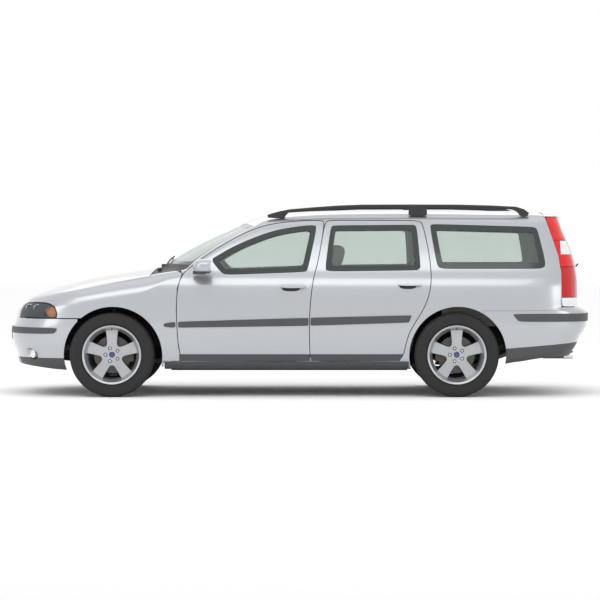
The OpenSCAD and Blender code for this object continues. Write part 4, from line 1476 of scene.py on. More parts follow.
        self.strip([(1068, 200), (1068, 284.5), (-884, 284.5), (-884, 200)], "sill_cover", "", 2, TRIM)
        ledge = 343
        self.strip([(950, 288), (950, ledge), (-92, ledge), (-96, 288)], "door_skirt_front", "door_front", 1.5, TRIM)
        self.strip(
            [(-102, 288), (-100, ledge), (-836, ledge), (-812, 288)], "door_skirt_rear", "door_rear", 1.5, TRIM,
        )


# moulded polycarbonate plate, left blank


@dataclass
class Lamps:
    """Headlights, fog lamps, tail lamps and side repeaters."""

    panels: BodyPanels

    def build_front(self) -> None:
        """Headlights with two reflectors and an indicator under one clear lens."""
        panels, lines, skin = self.panels, self.panels.lines, self.panels.skin
        outline = rounded(lines.lamp_front, 30)
        lens = skin.shell(0, 4, [prism(grown(outline, -1), Plane.SIDE, 472, BIG)])
        combine(lens, prism(grown(lines.bonnet(), lines.gap / 2), Plane.PLAN, 600, 1300), "DIFFERENCE")
        panels.pair(lens, "headlight_lens", LENS, "lamp_clear", "headlight")
        housing = skin.shell(46, 8, [prism(grown(outline, -2), Plane.SIDE, 476, BIG)])
        combine(housing, prism(grown(lines.bonnet(), lines.gap / 2), Plane.PLAN, 600, 1300), "DIFFERENCE")
        panels.pair(housing, "headlight_back", BEZEL, "lamp_clear", reach=5)
        rim = skin.shell(3, 44, [prism(grown(outline, -1), Plane.SIDE, 474, BIG)])
        combine(rim, prism(grown(outline, -9), Plane.SIDE, 484, BIG + 10), "DIFFERENCE")
        combine(rim, prism(grown(lines.bonnet(), lines.gap / 2), Plane.PLAN, 600, 1300), "DIFFERENCE")
        panels.pair(rim, "headlight_rim", BEZEL, "lamp_clear", reach=5)
        for side in Side:
            s = side.value
            for word, centre, radius, toe in (("outer", (2094, 716, 691), 44, 60), ("inner", (2170, 618, 691), 44, 48)):
                bowl = self.bowl(radius)
                bowl.data.transform(
                    Matrix.Translation(
                        (centre[0] * MM, s * centre[1] * MM, centre[2] * MM)
                    ) @ Matrix.Rotation(s * math.radians(toe), 4, "Z") @ Matrix.Rotation(math.radians(90), 4, "Y")
                )
                finish_piece(bowl, f"reflector_{word}_{side.word}", "body", REFLECTOR)
            lamp = skin.shell(
                14,
                26,
                [side_cut([(1934, 638), (1936, 700), (1966, 742), (2052, 750), (2006, 638)], 14, 476, BIG)],
            )
            if side is Side.RIGHT:
                flip_over(lamp)
            skin.shade(lamp)
            finish_piece(lamp, f"indicator_{side.word}", "body", AMBER_LENS)
            disc = lathe([(0, -34), (32, -32), (36, -4), (36, 0), (31, 4), (0, 8)], 48)
            disc.data.transform(
                Matrix.Translation(
                    (2138 * MM, s * 686 * MM, 342 * MM)
                ) @ Matrix.Rotation(s * math.radians(38), 4, "Z") @ Matrix.Rotation(math.radians(90), 4, "Y")
            )
            finish_piece(disc, f"fog_lamp_{side.word}", "body", PALE_LENS)
            if side is Side.LEFT:
                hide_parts("fog_lamps")
        lens = skin.shell(-5, 6, [side_cut([(992, 566), (1046, 562), (1050, 588), (992, 592)], 8)])
        panels.pair(lens, "side_repeater", PALE_LENS, "lamp_clear", reach=40)

    def bowl(self, radius: float) -> bpy.types.Object:
        """Bowl-shaped reflector with a bulb cap in its middle, facing +Z before it is turned."""
        points = [(0, -30), (9, -30), (9, 4), (12, 5), (12, 8), (0, 9)]
        shell = [(radius * math.sin(a), -34 * math.cos(a)) for a in np.linspace(0.25, math.pi / 2, 12)]
        cap = lathe(points, 24)
        wall = lathe([*shell, (radius + 3, 0), (radius + 3, -6), (12, -38)], 48)
        return join([wall, cap])

    def build_rear(self) -> None:
        """Tail lamps in four sections from the roof to the bumper."""
        panels, lines, skin = self.panels, self.panels.lines, self.panels.skin
        for word, low, high, finish in (
            ("top", 1256, 1443, RED_LENS), ("clear", 1140, 1252, PALE_LENS), ("stop", 1043, 1253, RED_LENS),
            ("low", 797, 1037, DARK_RED_LENS), ("reverse", 722, 793, PALE_LENS),
        ):
            obj = skin.shell(0, 30, [
                prism(grown(rounded(lines.lamp_tail, 14), -1), Plane.SIDE, 400, BIG),
                block((-2420, 0, low), (-1900, 1200, high)),
            ])
            combine(
                obj,
                prism(grown(rounded(mirrored(lines.gate), 20), lines.gap / 2), Plane.REAR, -2450, lines.roof_end + 3),
                "DIFFERENCE",
            )
            if word == "clear":
                combine(obj, block((-2420, 0, 1140), (-2112, 1200, 1250)), "INTERSECT")
            if word == "stop":
                combine(obj, block((-2420, 0, 1138), (-2110, 1200, 1254)), "DIFFERENCE")
            node = "tail_lamp" if word == "top" else ""
            panels.pair(obj, f"tail_lamp_{word}", finish, "lamp_red", node)
        base = skin.shell(3, 40, [prism(grown(rounded(lines.lamp_tail, 14), -1), Plane.SIDE, 400, BIG)])
        combine(
            base,
            prism(grown(rounded(mirrored(lines.gate), 20), lines.gap / 2 + 1), Plane.REAR, -2450, lines.roof_end + 3),
            "DIFFERENCE",
        )
        combine(base, block((-2150, 0, 1450), (-1900, 1200, 1500)), "DIFFERENCE")
        panels.pair(base, "tail_lamp_base", BLACK_PLASTIC, "lamp_red")
        stop = skin.shell(4, 8, [rear_cut([(0, 1386), (150, 1386), (150, 1398), (0, 1398)], 3, -2450, -2080)])
        panels.single(stop, "high_stop_lamp", RED_LENS, "lamp_red", "tailgate")


def lathe(profile: Sequence[Point2], steps: int = 64) -> bpy.types.Object:
    """Turns a profile about the Z axis.

    Args:
        profile: Radius and height of each point, in millimetres.
        steps: Number of steps round the axis.

    Returns:
        A new mesh object.
    """
    verts: list[Point3] = []
    rings: list[list[int]] = []
    for radius, z in profile:
        if radius < 1e-6:
            verts.append((0, 0, z * MM))
            rings.append([len(verts) - 1] * steps)
            continue
        start = len(verts)
        for k in range(steps):
            a = 2 * math.pi * k / steps
            verts.append((radius * MM * math.cos(a), radius * MM * math.sin(a), z * MM))
        rings.append(list(range(start, start + steps)))
    faces = []
    closed = profile[0][0] > 1e-6 and profile[-1][0] > 1e-6
    pairs = list(zip(rings, rings[1:])) + ([(rings[-1], rings[0])] if closed else [])
    for a, b in pairs:
        for k in range(steps):
            n = (k + 1) % steps
            face = [a[k], a[n], b[n], b[k]]
            unique = list(dict.fromkeys(face))
            if len(unique) > 2:
                faces.append(unique)
    obj = new_object("turned", verts, faces)
    face_outwards(obj)
    return obj


def join(objects: Sequence[bpy.types.Object]) -> bpy.types.Object:
    """Joins meshes into the first one."""
    bm = bmesh.new()
    for obj in objects:
        bm.from_mesh(obj.data)
    bm.to_mesh(objects[0].data)
    bm.free()
    for obj in objects[1:]:
        drop(obj)
    return objects[0]


def moved(obj: bpy.types.Object, matrix: Matrix) -> bpy.types.Object:
    """Moves a mesh by changing its vertices."""
    obj.data.transform(matrix)
    return obj


def soft_box(low: Point3, high: Point3, edge: float, steps: int = 3) -> bpy.types.Object:
    """Box with rounded edges, between two corners in millimetres."""
    obj = block(low, high)
    bevel = obj.modifiers.new("edge", "BEVEL")
    bevel.width = edge * MM
    bevel.segments = steps
    apply_modifiers(obj)
    return obj


def tube(points: Sequence[Point3], radius: float, steps: int = 20) -> bpy.types.Object:
    """Round bar along a path, with closed ends.

    Args:
        points: Path in millimetres.
        radius: Radius in millimetres.
        steps: Sides of the bar.

    Returns:
        A new mesh object.
    """
    path = [Vector(p) for p in points]
    verts: list[Point3] = []
    faces: list[list[int]] = []
    for i, p in enumerate(path):
        ahead = (path[min(i + 1, len(path) - 1)] - path[max(i - 1, 0)]).normalized()
        across = ahead.cross(Vector((0, 0, 1)) if abs(ahead.z) < 0.9 else Vector((0, 1, 0))).normalized()
        up = across.cross(ahead)
        for k in range(steps):
            a = 2 * math.pi * k / steps
            v = (p + (across * math.cos(a) + up * math.sin(a)) * radius) * MM
            verts.append(tuple(v))
    for i in range(len(path) - 1):
        for k in range(steps):
            n = (k + 1) % steps
            faces.append([i * steps + k, i * steps + n, (i + 1) * steps + n, (i + 1) * steps + k])
    faces.append(list(range(steps)))
    faces.append(list(range(len(path) * steps - 1, (len(path) - 1) * steps - 1, -1)))
    obj = new_object("bar", verts, faces)
    face_outwards(obj)
    return obj


@dataclass
class Wheel:
    """One wheel: tyre, five-spoke rim, brake disc and their small parts."""

    code: str
    side: Side
    tread_blocks: int = 64
    spoke_half: float = 50

    @property
    def body(self) -> str:
        """Body that the wheel turns with."""
        return f"wheel_{self.code}"

    def place(self) -> Matrix:
        """Matrix from the wheel's own space, +Z outwards, to the car."""
        low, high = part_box(f"tyre_{self.code}")
        middle = (low + high) / 2 if isinstance(low, Vector) else (Vector(low) + Vector(high)) / 2
        return Matrix.Translation(middle) @ Matrix.Rotation(-self.side.value * math.radians(90), 4, "X")

    def add(
        self,
        obj: bpy.types.Object,
        name: str,
        finish: Finish,
        slot: str,
        node: str = "",
        angle: float = 35,
    ) -> None:
        """Places and finishes one piece of the wheel."""
        moved(obj, self.place())
        finish_piece(obj, f"{name}_{self.code}", self.body, finish, angle)
        if node:
            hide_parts(f"{node}_{self.code}")

    def build(self) -> None:
        """Builds every piece of the wheel."""
        self.build_tyre()
        self.build_rim()
        self.build_small()

    def build_tyre(self) -> None:
        """Tyre with four grooves, shoulder sipes and a raised ring on the sidewall."""
        grooves: list[Point2] = []
        for z in (-54, -19, 19, 54):
            grooves += [(338, z - 5), (331, z - 4), (331, z + 4), (338, z + 5)]
        outer = [
            (219.5, -78), (224, -92), (238, -94), (242, -100), (250, -104), (254, -107.5), (262, -108),
            (282, -110), (300, -111), (312, -109), (322, -105), (333, -94), (337, -82), (338, -70),
            *grooves, (338, 70), (337, 82), (333, 94), (322, 105), (312, 109), (300, 111), (282, 110),
            (262, 108), (254, 107.5), (250, 104), (242, 100), (238, 94), (224, 92), (219.5, 78),
        ]
        inner = [
            (219.5, 64), (240, 80), (270, 96), (300, 99), (316, 92), (324, 66), (324, -66), (316, -92), (300, -99),
            (270, -96), (240, -80), (219.5, -64),
        ]
        obj = lathe([*outer, *inner], 192)
        sipes = []
        for k in range(self.tread_blocks):
            a = 2 * math.pi * k / self.tread_blocks
            for z in (74, -106):
                cut = block((329, -2.2, z), (345, 2.2, z + 32))
                sipes.append(moved(cut, Matrix.Rotation(a + (0.02 if z > 0 else -0.02), 4, "Z")))
        combine(obj, join(sipes), "DIFFERENCE")
        self.add(obj, "tyre", TYRE, "tyre", "tyre", 32)

    def star(self, half: float) -> Outline:
        """Outline of the five spokes and the hub between them."""
        out: Outline = []
        for k in range(5):
            a = math.radians(72 * k - 90)
            u, v = (math.cos(a), math.sin(a)), (-math.sin(a), math.cos(a))
            between = a - math.radians(36)
            out.append((70 * math.cos(between), 70 * math.sin(between)))
            arm = ((98, 0.76), (150, 0.84), (222, 1.06))
            for r, w in [(r, -half * k) for r, k in arm] + [(r, half * k) for r, k in reversed(arm)]:
                out.append((u[0] * r + v[0] * w, u[1] * r + v[1] * w))
        return out

    def build_rim(self) -> None:
        """Rim with flat spokes whose edges are rounded, and bores for hub and bolts."""
        edge = 235
        barrel = lathe([
            (196, -100), (edge, -100), (edge, -97), (222, -95), (218.5, -80), (218.5, -62), (206, -40),
            (206, 40), (218.5, 62), (218.5, 78), (222, 95), (edge, 97), (edge, 101), (231, 103), (224, 101),
            (218, 96), (213, 84), (208, 74), (198, 64), (192, 40), (192, -60),
        ], 144)
        spokes = prism(rounded(self.star(self.spoke_half), 26, 3), Plane.PLAN, 30, 64)
        dish = lathe([(0, 20), (226, 20), (226, 72), (212, 69), (150, 63), (90, 58), (70, 57.5), (0, 57.5)], 96)
        combine(spokes, dish, "INTERSECT")
        bevel = spokes.modifiers.new("edge", "BEVEL")
        bevel.width = 4 * MM
        bevel.segments = 3
        bevel.limit_method = "ANGLE"
        bevel.angle_limit = math.radians(50)
        apply_modifiers(spokes)
        hub = lathe([(0, 3), (70, 3), (72, 8), (72, 44), (0, 44)], 72)
        turns = [math.radians(72 * k) for k in range(5)]
        bores = [(25, (0, 0))] + [(9, (54 * math.cos(a), 54 * math.sin(a))) for a in turns]
        for cut_radius, centre in bores:
            for piece in (spokes, hub):
                combine(piece, prism(disc_points(centre, cut_radius, 48), Plane.PLAN, -10, 90), "DIFFERENCE")
            if cut_radius == 9:
                combine(spokes, prism(disc_points(centre, 14.5, 48), Plane.PLAN, 10, 90), "DIFFERENCE")
        self.add(barrel, "rim_barrel", ALLOY, "alloy", "rim", 40)
        self.add(spokes, "rim_spokes", ALLOY, "alloy", angle=40)
        self.add(hub, "rim_hub", ALLOY, "alloy", angle=40)

    def build_small(self) -> None:
        """Turned lip, centre cap, bolts with painted shade in their pockets, valve and brake disc."""
        lip = lathe([(230, 99), (236, 99), (236.5, 101), (235, 104.5), (231, 105), (228, 102)], 144)
        self.add(lip, "rim_lip", TURNED_LIP, "alloy", angle=50)
        cap = lathe([(0, 44), (24, 44), (25, 46), (25, 59), (23.5, 61.5), (18, 62.5), (0, 62.8)], 64)
        self.add(cap, "centre_cap", CAP_BLUE, "alloy")
        ring = lathe([(25, 50), (29, 50), (29.5, 59), (28, 60.5), (25.6, 60.5)], 64)
        self.add(ring, "cap_ring", CHROME, "alloy")
        bolts = []
        for k in range(5):
            a = math.radians(72 * k)
            bolt = prism(disc_points((0, 0), 8.5, 6), Plane.PLAN, 46.6, 55)
            bolts.append(moved(bolt, Matrix.Translation((54 * MM * math.cos(a), 54 * MM * math.sin(a), 0))))
        self.add(join(bolts), "wheel_bolts", CHROME, "alloy", angle=30)
        # black cups lining the bolt pockets are painted shade: they darken the pockets where shade falls in them
        pocket_shade = [
            moved(
                lathe([(0, 45), (14.3, 45), (14.3, 57), (13.2, 57), (13, 46.5), (0, 46.5)], 40),
                Matrix.Translation((54 * MM * math.cos(a), 54 * MM * math.sin(a), 0)),
            )
            for a in (math.radians(72 * k) for k in range(5))
        ]
        self.add(join(pocket_shade), "bolt_wells", BLACK_PLASTIC, "alloy", angle=30)
        valve = tube([(0, -206, 70), (0, -204, 84), (0, -200, 98)], 4, 16)
        self.add(valve, "valve", BLACK_PLASTIC, "tyre")
        disc = lathe(
            [
                (34, 2), (74, 2), (76, -10), (100, -12), (150, -12), (150, -20), (146, -22), (146, -27), (150, -29),
                (150, -36), (100, -36), (66, -33), (66, -8), (34, -8),
            ],
            96,
        )
        self.add(disc, "disc", DISC, "cast_steel", "disc", 30)


@dataclass
class Details:
    """Handles, mirrors, rails, wipers, grille, plates and other small outer parts."""

    panels: BodyPanels

    def build(self) -> None:
        """Builds every small outer part."""
        self.build_handles()
        self.build_mirrors()
        self.build_rails()
        self.build_grille()
        self.build_wipers()
        self.build_plates()

    def build_handles(self) -> None:
        """Pull handles over dark patches of painted shade where their recesses would be, one on each door."""
        panels, skin = self.panels, self.panels.skin
        for word, x0, x1, z0, z1 in (("front", -56, 140, 846, 912), ("rear", -984, -797, 864, 930)):
            body = f"door_{word}"
            # the dark patch is painted shade: black plastic laid 1.2 mm proud of the door skin where the recess behind
            # the grip falls into shade
            shade_outline = rounded(
                [
                    (x0 + 50, z0), (x1 - 20, z0), (x1 - 8, z0 + 22), (x1 - 8, z1 - 6), (x0 + 50, z1 - 6),
                    (x0 + 36, z0 + 24),
                ],
                26,
            )
            handle_shade = skin.shell(-1.2, 3, [prism(shade_outline, Plane.SIDE, 300, BIG)])
            panels.pair(handle_shade, f"handle_recess_{word}", BLACK_PLASTIC, "dark_plastic", "", body, 40)
            grip = skin.shell(-30, 13, [side_cut([(x0, z0 + 26), (x1, z0 + 26), (x1, z0 + 60), (x0, z0 + 60)], 14)])
            for a, b in ((x0 + 3, x0 + 34), (x1 - 34, x1 - 3)):
                foot = skin.shell(-29, 30, [side_cut([(a, z0 + 30), (b, z0 + 30), (b, z0 + 56), (a, z0 + 56)], 8)])
                combine(grip, foot, "UNION")
            panels.pair(grip, f"handle_{word}", PAINT, "silver_paint", "", body, 60)
        lock = lathe([(0, -3), (9, -3), (9, 4), (7, 5), (0, 5)], 32)
        y = float(skin.surface.read("side", 880))
        moved(lock, Matrix.Translation((-78 * MM, y * MM, 884 * MM)) @ Matrix.Rotation(math.radians(-90), 4, "X"))
        panels.pair(lock, "door_lock", CHROME, "alloy", "", "door_front", 1)
        flap = skin.shell(-0.9, 3, [side_cut([(-1420, 800), (-1560, 800), (-1560, 930), (-1420, 930)], 30)])
        flip_over(flap)
        skin.shade(flap)
        finish_piece(flap, "fuel_flap", "body", PAINT)
        seam = skin.shell(-0.4, 3, [side_cut([(-1417, 797), (-1563, 797), (-1563, 933), (-1417, 933)], 32)])
        flip_over(seam)
        finish_piece(seam, "fuel_flap_seam", "body", SEAL)

    def build_mirrors(self) -> None:
        """Door mirrors: painted cap, dark base and stalk, silvered glass."""
        for side in Side:
            s = side.value
            ride = f"door_front_{side.word}"
            bm = bmesh.new()
            bmesh.ops.create_uvsphere(bm, u_segments=48, v_segments=24, radius=1.0)
            for v in bm.verts:
                x, y, z = v.co
                ex = [math.copysign(abs(c) ** 0.72, c) for c in (x, y, z)]
                v.co = Vector(
                    ((752 + ex[0] * 82 - ex[1] * 14) * MM, s * (960 + ex[1] * 98) * MM, (1046 + ex[2] * 57) * MM)
                )
            mesh = bpy.data.meshes.new("cap")
            bm.to_mesh(mesh)
            bm.free()
            cap = bpy.data.objects.new("cap", mesh)
            bpy.context.scene.collection.objects.link(cap)
            face_outwards(cap)
            combine(cap, block((500, -1200, 900), (692, 1200, 1200)), "DIFFERENCE")
            low = clone(cap, "low")
            combine(cap, block((500, -1200, 1006), (900, 1200, 1200)), "INTERSECT")
            combine(low, block((500, -1200, 900), (900, 1200, 1004)), "INTERSECT")
            finish_piece(cap, f"mirror_cap_{side.word}", ride, PAINT)
            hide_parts(f"mirror_{side.word}")
            foot = soft_box((735, 858, 982), (840, 920, 1012), 8)
            combine(low, flip_over(foot) if side is Side.RIGHT else foot, "UNION")
            finish_piece(low, f"mirror_base_{side.word}", ride, TRIM)
            glass = prism(
                rounded([(882, 1004), (1038, 1008), (1040, 1086), (884, 1090)], 18),
                Plane.REAR,
                689.5,
                691.5,
            )
            if side is Side.RIGHT:
                flip_over(glass)
            finish_piece(glass, f"mirror_glass_{side.word}", ride, MIRROR)

    def build_rails(self) -> None:
        """Roof rails on three feet each."""
        y = 572
        path = [
            (246, y, 1448), (215, y, 1458), (150, y, 1476), (70, y, 1492), (-130, y, 1509), (-330, y, 1523),
            (-520, y, 1530), (-880, y, 1531), (-1300, y, 1530), (-1560, y, 1523), (-1760, y, 1513), (-1820, y, 1495),
            (-1862, y, 1464),
        ]
        fine: list[Point3] = []
        for a, b in zip(path, path[1:]):
            fine += [tuple(Vector(a).lerp(Vector(b), k / 4)) for k in range(4)]
        fine.append(path[-1])
        bar = tube(fine, 12.6, 24)
        feet = (
            [(262, 1436), (212, 1462), (150, 1484), (40, 1506), (20, 1500), (78, 1476), (104, 1452), (108, 1428)],
            [(-890, 1450), (-896, 1530), (-1038, 1530), (-1044, 1450)],
            [
                (-1868, 1448), (-1842, 1488), (-1780, 1516), (-1690, 1524), (-1690, 1510), (-1752, 1494),
                (-1786, 1470), (-1790, 1448),
            ],
        )
        for points in feet:
            combine(bar, side_cut(points, 12, y - 12.4, y + 12.4), "UNION")
        right = flip_over(clone(bar, "right"))
        for side, obj in ((Side.LEFT, bar), (Side.RIGHT, right)):
            finish_piece(obj, f"roof_rail_{side.word}", "body", BLACK_PLASTIC)
            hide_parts(f"roof_rail_{side.word}")

    def build_grille(self) -> None:
        """Bars in the two openings of the nose, with a dark plate behind them."""
        panels, skin = self.panels, self.panels.skin
        upper = skin.shell(4, 12, [rear_cut([(0, 597), (261, 597), (321, 723), (0, 723)], 26, 2150, 2450)])
        for row in range(5):
            z = 608 + row * 23
            combine(upper, block((2100, 12, z), (2450, 262 + row * 11, z + 15)), "DIFFERENCE")
            combine(upper, block((2100, -262 - row * 11, z), (2450, -12, z + 15)), "DIFFERENCE")
        panels.single(upper, "grille_upper", BLACK_PLASTIC, "dark_plastic", node="grille")
        frame = skin.shell(-3, 10, [rear_cut([(0, 594), (264, 594), (325, 727), (0, 727)], 28, 2150, 2450)])
        combine(frame, rear_cut([(0, 604), (257, 604), (313, 717), (0, 717)], 24, 2100, 2500), "DIFFERENCE")
        panels.single(frame, "grille_frame", CHROME, "alloy")
        lower = skin.shell(
            10,
            14,
            [rear_cut([(0, 297), (329, 297), (344, 362), (329, 427), (0, 427)], 30, 2150, 2450)],
        )
        for row in range(4):
            z = 306 + row * 30
            combine(lower, block((2100, -326, z), (2450, 326, z + 20)), "DIFFERENCE")
        panels.single(lower, "grille_lower", BLACK_PLASTIC, "dark_plastic")
        back = soft_box((2150, -345, 290), (2156, 345, 730), 2)
        finish_piece(back, "grille_back", "body", BLACK_PLASTIC)

    def build_wipers(self) -> None:
        """Two arms with blades lying at the foot of the windscreen, and one on the tailgate."""
        surface = self.panels.skin.surface

        def on_top(x: float, y: float, up: float) -> Point3:
            """Point a little above the top of the body."""
            return (x, y, float(surface.top_z(np.array([x]), np.array([y]), 0)[0]) + up)

        for name, start, end in (("left", (1125, 540), (1030, 20)), ("right", (1125, -60), (1010, -560))):
            arm = tube(
                [
                    on_top(
                        start[0] + (end[0] - start[0]) * k / 8, start[1] + (end[1] - start[1]) * k / 8, 14,
                    ) for k in range(9)
                ],
                6,
                12,
            )
            blade = tube(
                [on_top(end[0] + 12 + 30 * k, end[1] + (k - 0.45) * 560, 9) for k in np.linspace(-0.45, 0.55, 12)],
                5,
                10,
            )
            pivot = lathe([(0, -12), (16, -12), (16, 10), (12, 16), (0, 17)], 32)
            moved(pivot, Matrix.Translation(Vector(on_top(start[0], start[1], 8)) * MM))
            finish_piece(join([arm, blade, pivot]), f"wiper_{name}", "body", BLACK_PLASTIC, 40)

        def tail(z: float) -> float:
            """How far back the tail stands at a height, with room for the arm."""
            return float(surface.read("tail", z)) - 12

        arm = tube([(tail(1010 + 3 * k), 60 + 45 * k, 1012 + 6 * k) for k in range(9)], 6, 12)
        pivot = lathe([(0, -20), (20, -20), (20, 6), (15, 12), (0, 13)], 32)
        moved(pivot, Matrix.Translation((tail(1008) * MM, 0.05, 1.008)) @ Matrix.Rotation(math.radians(-90), 4, "Y"))
        finish_piece(join([arm, pivot]), "wiper_rear", "tailgate", BLACK_PLASTIC, 40)

    def build_plates(self) -> None:
        """Blank number plate on the nose, tail pipe sleeve and tow cover."""
        panels, skin = self.panels, self.panels.skin
        plate = skin.shell(-9, 4, [rear_cut([(0, 440), (255, 440), (255, 500), (0, 500)], 5, 2150, 2450)])
        panels.single(plate, "blank_plate_front", PALE_PLATE, "silver_paint")
        tip = lathe([(29, 0), (33, 0), (33.5, 74), (32, 77), (30, 74)], 64)
        dark = lathe([(0, 30), (29.6, 30), (29.6, 33), (0, 33)], 48)
        for obj, name, finish in ((tip, "tailpipe_sleeve", CHROME), (dark, "tailpipe_bore", BLACK_PLASTIC)):
            moved(obj, Matrix.Translation((-2.158, 0.48, 0.322)) @ Matrix.Rotation(math.radians(-90), 4, "Y"))
            finish_piece(obj, name, "body", finish, 40)
        cover = skin.shell(1, 4, [prism(disc_points((-420, 405), 22.5, 48), Plane.REAR, 2150, 2450)])
        panels.single(cover, "tow_cover_ring", PAINT, "silver_paint")
        combine(cover, prism(disc_points((-420, 405), 9, 32), Plane.REAR, 2150, 2450), "DIFFERENCE")


@dataclass
class Cabin:
    """Seats, dashboard, wheel, door cards, carpet and headlining."""

    panels: BodyPanels

    def build(self) -> None:
        """Builds every piece of the interior."""
        self.build_seats()
        self.build_dash()
        self.build_wheel()
        self.build_linings()

    def cushion(
        self,
        low: Point3,
        high: Point3,
        turn: Matrix,
        name: str,
        edge: float,
        panels: int = 3,
    ) -> bpy.types.Object:
        """Stuffed cushion with stitched channels.

        Args:
            low: Lowest corner in its own space, in millimetres.
            high: Highest corner in its own space.
            turn: Matrix from its own space to the car, in metres.
            name: Name of the piece.
            edge: Radius of its edges.
            panels: Number of stitched panels across it.

        Returns:
            The finished cushion.
        """
        obj = block(low, high)
        bevel = obj.modifiers.new("edge", "BEVEL")
        bevel.width = edge * MM
        bevel.segments = 4
        apply_modifiers(obj)
        remesh = obj.modifiers.new("even", "REMESH")
        remesh.mode = "VOXEL"
        remesh.voxel_size = 0.012
        apply_modifiers(obj)
        size = [(b - a) * MM for a, b in zip(low, high)]
        middle = [(b + a) / 2 * MM for a, b in zip(low, high)]
        for v in obj.data.vertices:
            u = [(v.co[i] - middle[i]) / (size[i] / 2) for i in range(3)]
            thin = min(range(3), key=lambda i: size[i])
            rest = [i for i in range(3) if i != thin]
            full = (1 - min(1, abs(u[rest[0]])) ** 4) * (1 - min(1, abs(u[rest[1]])) ** 4)
            swell = 0.012 * full
            if panels > 1:
                edges = [-0.55, 0.55] if panels == 2 else [-0.6, -0.2, 0.2, 0.6]
                seam = min(abs(u[1] - s) for s in edges)
                swell -= 0.010 * math.exp(-((seam * size[1] / 2 / 0.009) ** 2)) * full
            v.co[thin] += math.copysign(swell, u[thin])
        self.inflate(obj)
        moved(obj, turn)
        finish_piece(obj, name, "body", SEAT_CLOTH, 80)
        return obj

    def inflate(self, obj: bpy.types.Object) -> None:
        """Fills the cover with air for a few frames and keeps what comes of it."""
        scene = bpy.context.scene
        cloth = obj.modifiers.new("cover", "CLOTH")
        cloth.settings.quality = 4
        cloth.settings.use_pressure = True
        cloth.settings.uniform_pressure_force = 3.0
        cloth.settings.tension_stiffness = 40
        cloth.settings.compression_stiffness = 40
        cloth.settings.effector_weights.gravity = 0.0
        for frame in range(1, 9):
            scene.frame_set(frame)
            bpy.context.evaluated_depsgraph_get()
        apply_modifiers(obj)
        scene.frame_set(1)

    def build_seats(self) -> None:
        """Front seats and rear bench with head restraints."""
        for side in Side:
            s = side.value
            at = Matrix.Translation((0.080, s * 0.370, 0))
            word = side.word
            base = self.cushion((-235, -250, 330), (270, 250, 465), at, f"front_cushion_{word}", 42, 3)
            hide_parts(f"front_seat_{word}")
            lean = at @ Matrix.Translation((-0.215, 0, 0.400)) @ Matrix.Rotation(math.radians(-18), 4, "Y")
            self.cushion((-120, -236, 10), (8, 236, 600), lean, f"front_back_{word}", 44, 3)
            head = at @ Matrix.Translation((-0.420, 0, 1.030)) @ Matrix.Rotation(math.radians(-12), 4, "Y")
            self.cushion((0, -130, 6), (88, 130, 178), head, f"front_headrest_{word}", 34, 1)
            posts = join([tube([(-372, s * 370 + d, 940), (-395, s * 370 + d, 1060)], 6, 12) for d in (-50, 50)])
            moved(posts, Matrix.Translation((0.080, 0, 0)))
            finish_piece(posts, f"headrest_posts_{word}", "body", CHROME)
            runners = join([soft_box((-200, d - 20, 240), (220, d + 20, 326), 6) for d in (-180, 180)])
            moved(runners, at)
            finish_piece(runners, f"seat_runners_{word}", "body", BLACK_PLASTIC)
        base = self.cushion((-850, -625, 300), (-385, 625, 450), Matrix(), "rear_cushion", 44, 3)
        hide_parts("rear_seat")
        lean = Matrix.Translation((-0.760, 0, 0.420)) @ Matrix.Rotation(math.radians(-20), 4, "Y")
        self.cushion((-105, -625, 40), (10, 625, 555), lean, "rear_back", 42, 3)
        for i, y in enumerate((-430, 0, 430)):
            head = Matrix.Translation((-1.040, y * MM, 0.930)) @ Matrix.Rotation(math.radians(-12), 4, "Y")
            self.cushion((0, -112, 0), (80, 112, 185), head, f"rear_headrest_{i + 1}", 32, 1)

    def build_dash(self) -> None:
        """Dashboard with cowl, centre console and its vents."""
        top = side_cut(
            [(690, 690), (720, 640), (985, 640), (985, 900), (880, 915), (760, 905), (700, 860)],
            34,
            -590,
            590,
        )
        finish_piece(top, "dashboard_body", "body", SOFT_DASH, 30)
        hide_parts("dashboard")
        hood = soft_box((690, 220, 850), (860, 520, 935), 26, 5)
        finish_piece(hood, "instrument_hood", "body", SOFT_DASH)
        console = side_cut([(300, 340), (700, 340), (700, 640), (640, 560), (560, 420), (300, 410)], 20, -105, 105)
        finish_piece(console, "centre_console", "body", SOFT_DASH, 30)
        vents = join([soft_box((684, y - 70, 790), (698, y + 70, 840), 5) for y in (-500, -60, 60, 545)])
        finish_piece(vents, "dash_vents", "body", BLACK_PLASTIC)
        lever = tube([(470, 0, 410), (462, 0, 470), (450, 0, 520)], 9, 16)
        knob = lathe([(0, -26), (14, -24), (21, -6), (22, 8), (15, 20), (0, 24)], 32)
        moved(knob, Matrix.Translation((0.448, 0, 0.538)))
        finish_piece(join([lever, knob]), "gear_lever", "body", LEATHER, 60)
        brake = tube([(250, -20, 420), (120, -20, 450), (60, -20, 468)], 14, 16)
        combine(brake, block((-400, -200, 0), (290, 200, 900)), "INTERSECT")
        finish_piece(brake, "handbrake", "body", LEATHER, 60)

    def build_wheel(self) -> None:
        """Steering wheel with a padded boss and four spokes."""
        at = Matrix.Translation((0.56, 0.37, 0.865)) @ Matrix.Rotation(math.radians(-65), 4, "Y")
        ring = lathe(
            [(176 + 15 * math.cos(a), 15 * math.sin(a)) for a in np.linspace(0, 2 * math.pi, 20, endpoint=False)],
            96,
        )
        finish_piece(moved(ring, at), "steering_rim", "steering_wheel", LEATHER, 80)
        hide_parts("steering_wheel")
        boss = lathe([(0, -46), (52, -46), (74, -30), (78, -4), (66, 8), (0, 14)], 64)
        spokes = []
        for a in (18, 162, 250, 290):
            bar = soft_box((50, -19, -16), (166, 19, -3), 5)
            spokes.append(moved(bar, Matrix.Rotation(math.radians(a), 4, "Z")))
        finish_piece(
            moved(join([boss, *spokes]), at), "steering_boss", "steering_wheel", SOFT_DASH, 40,
        )

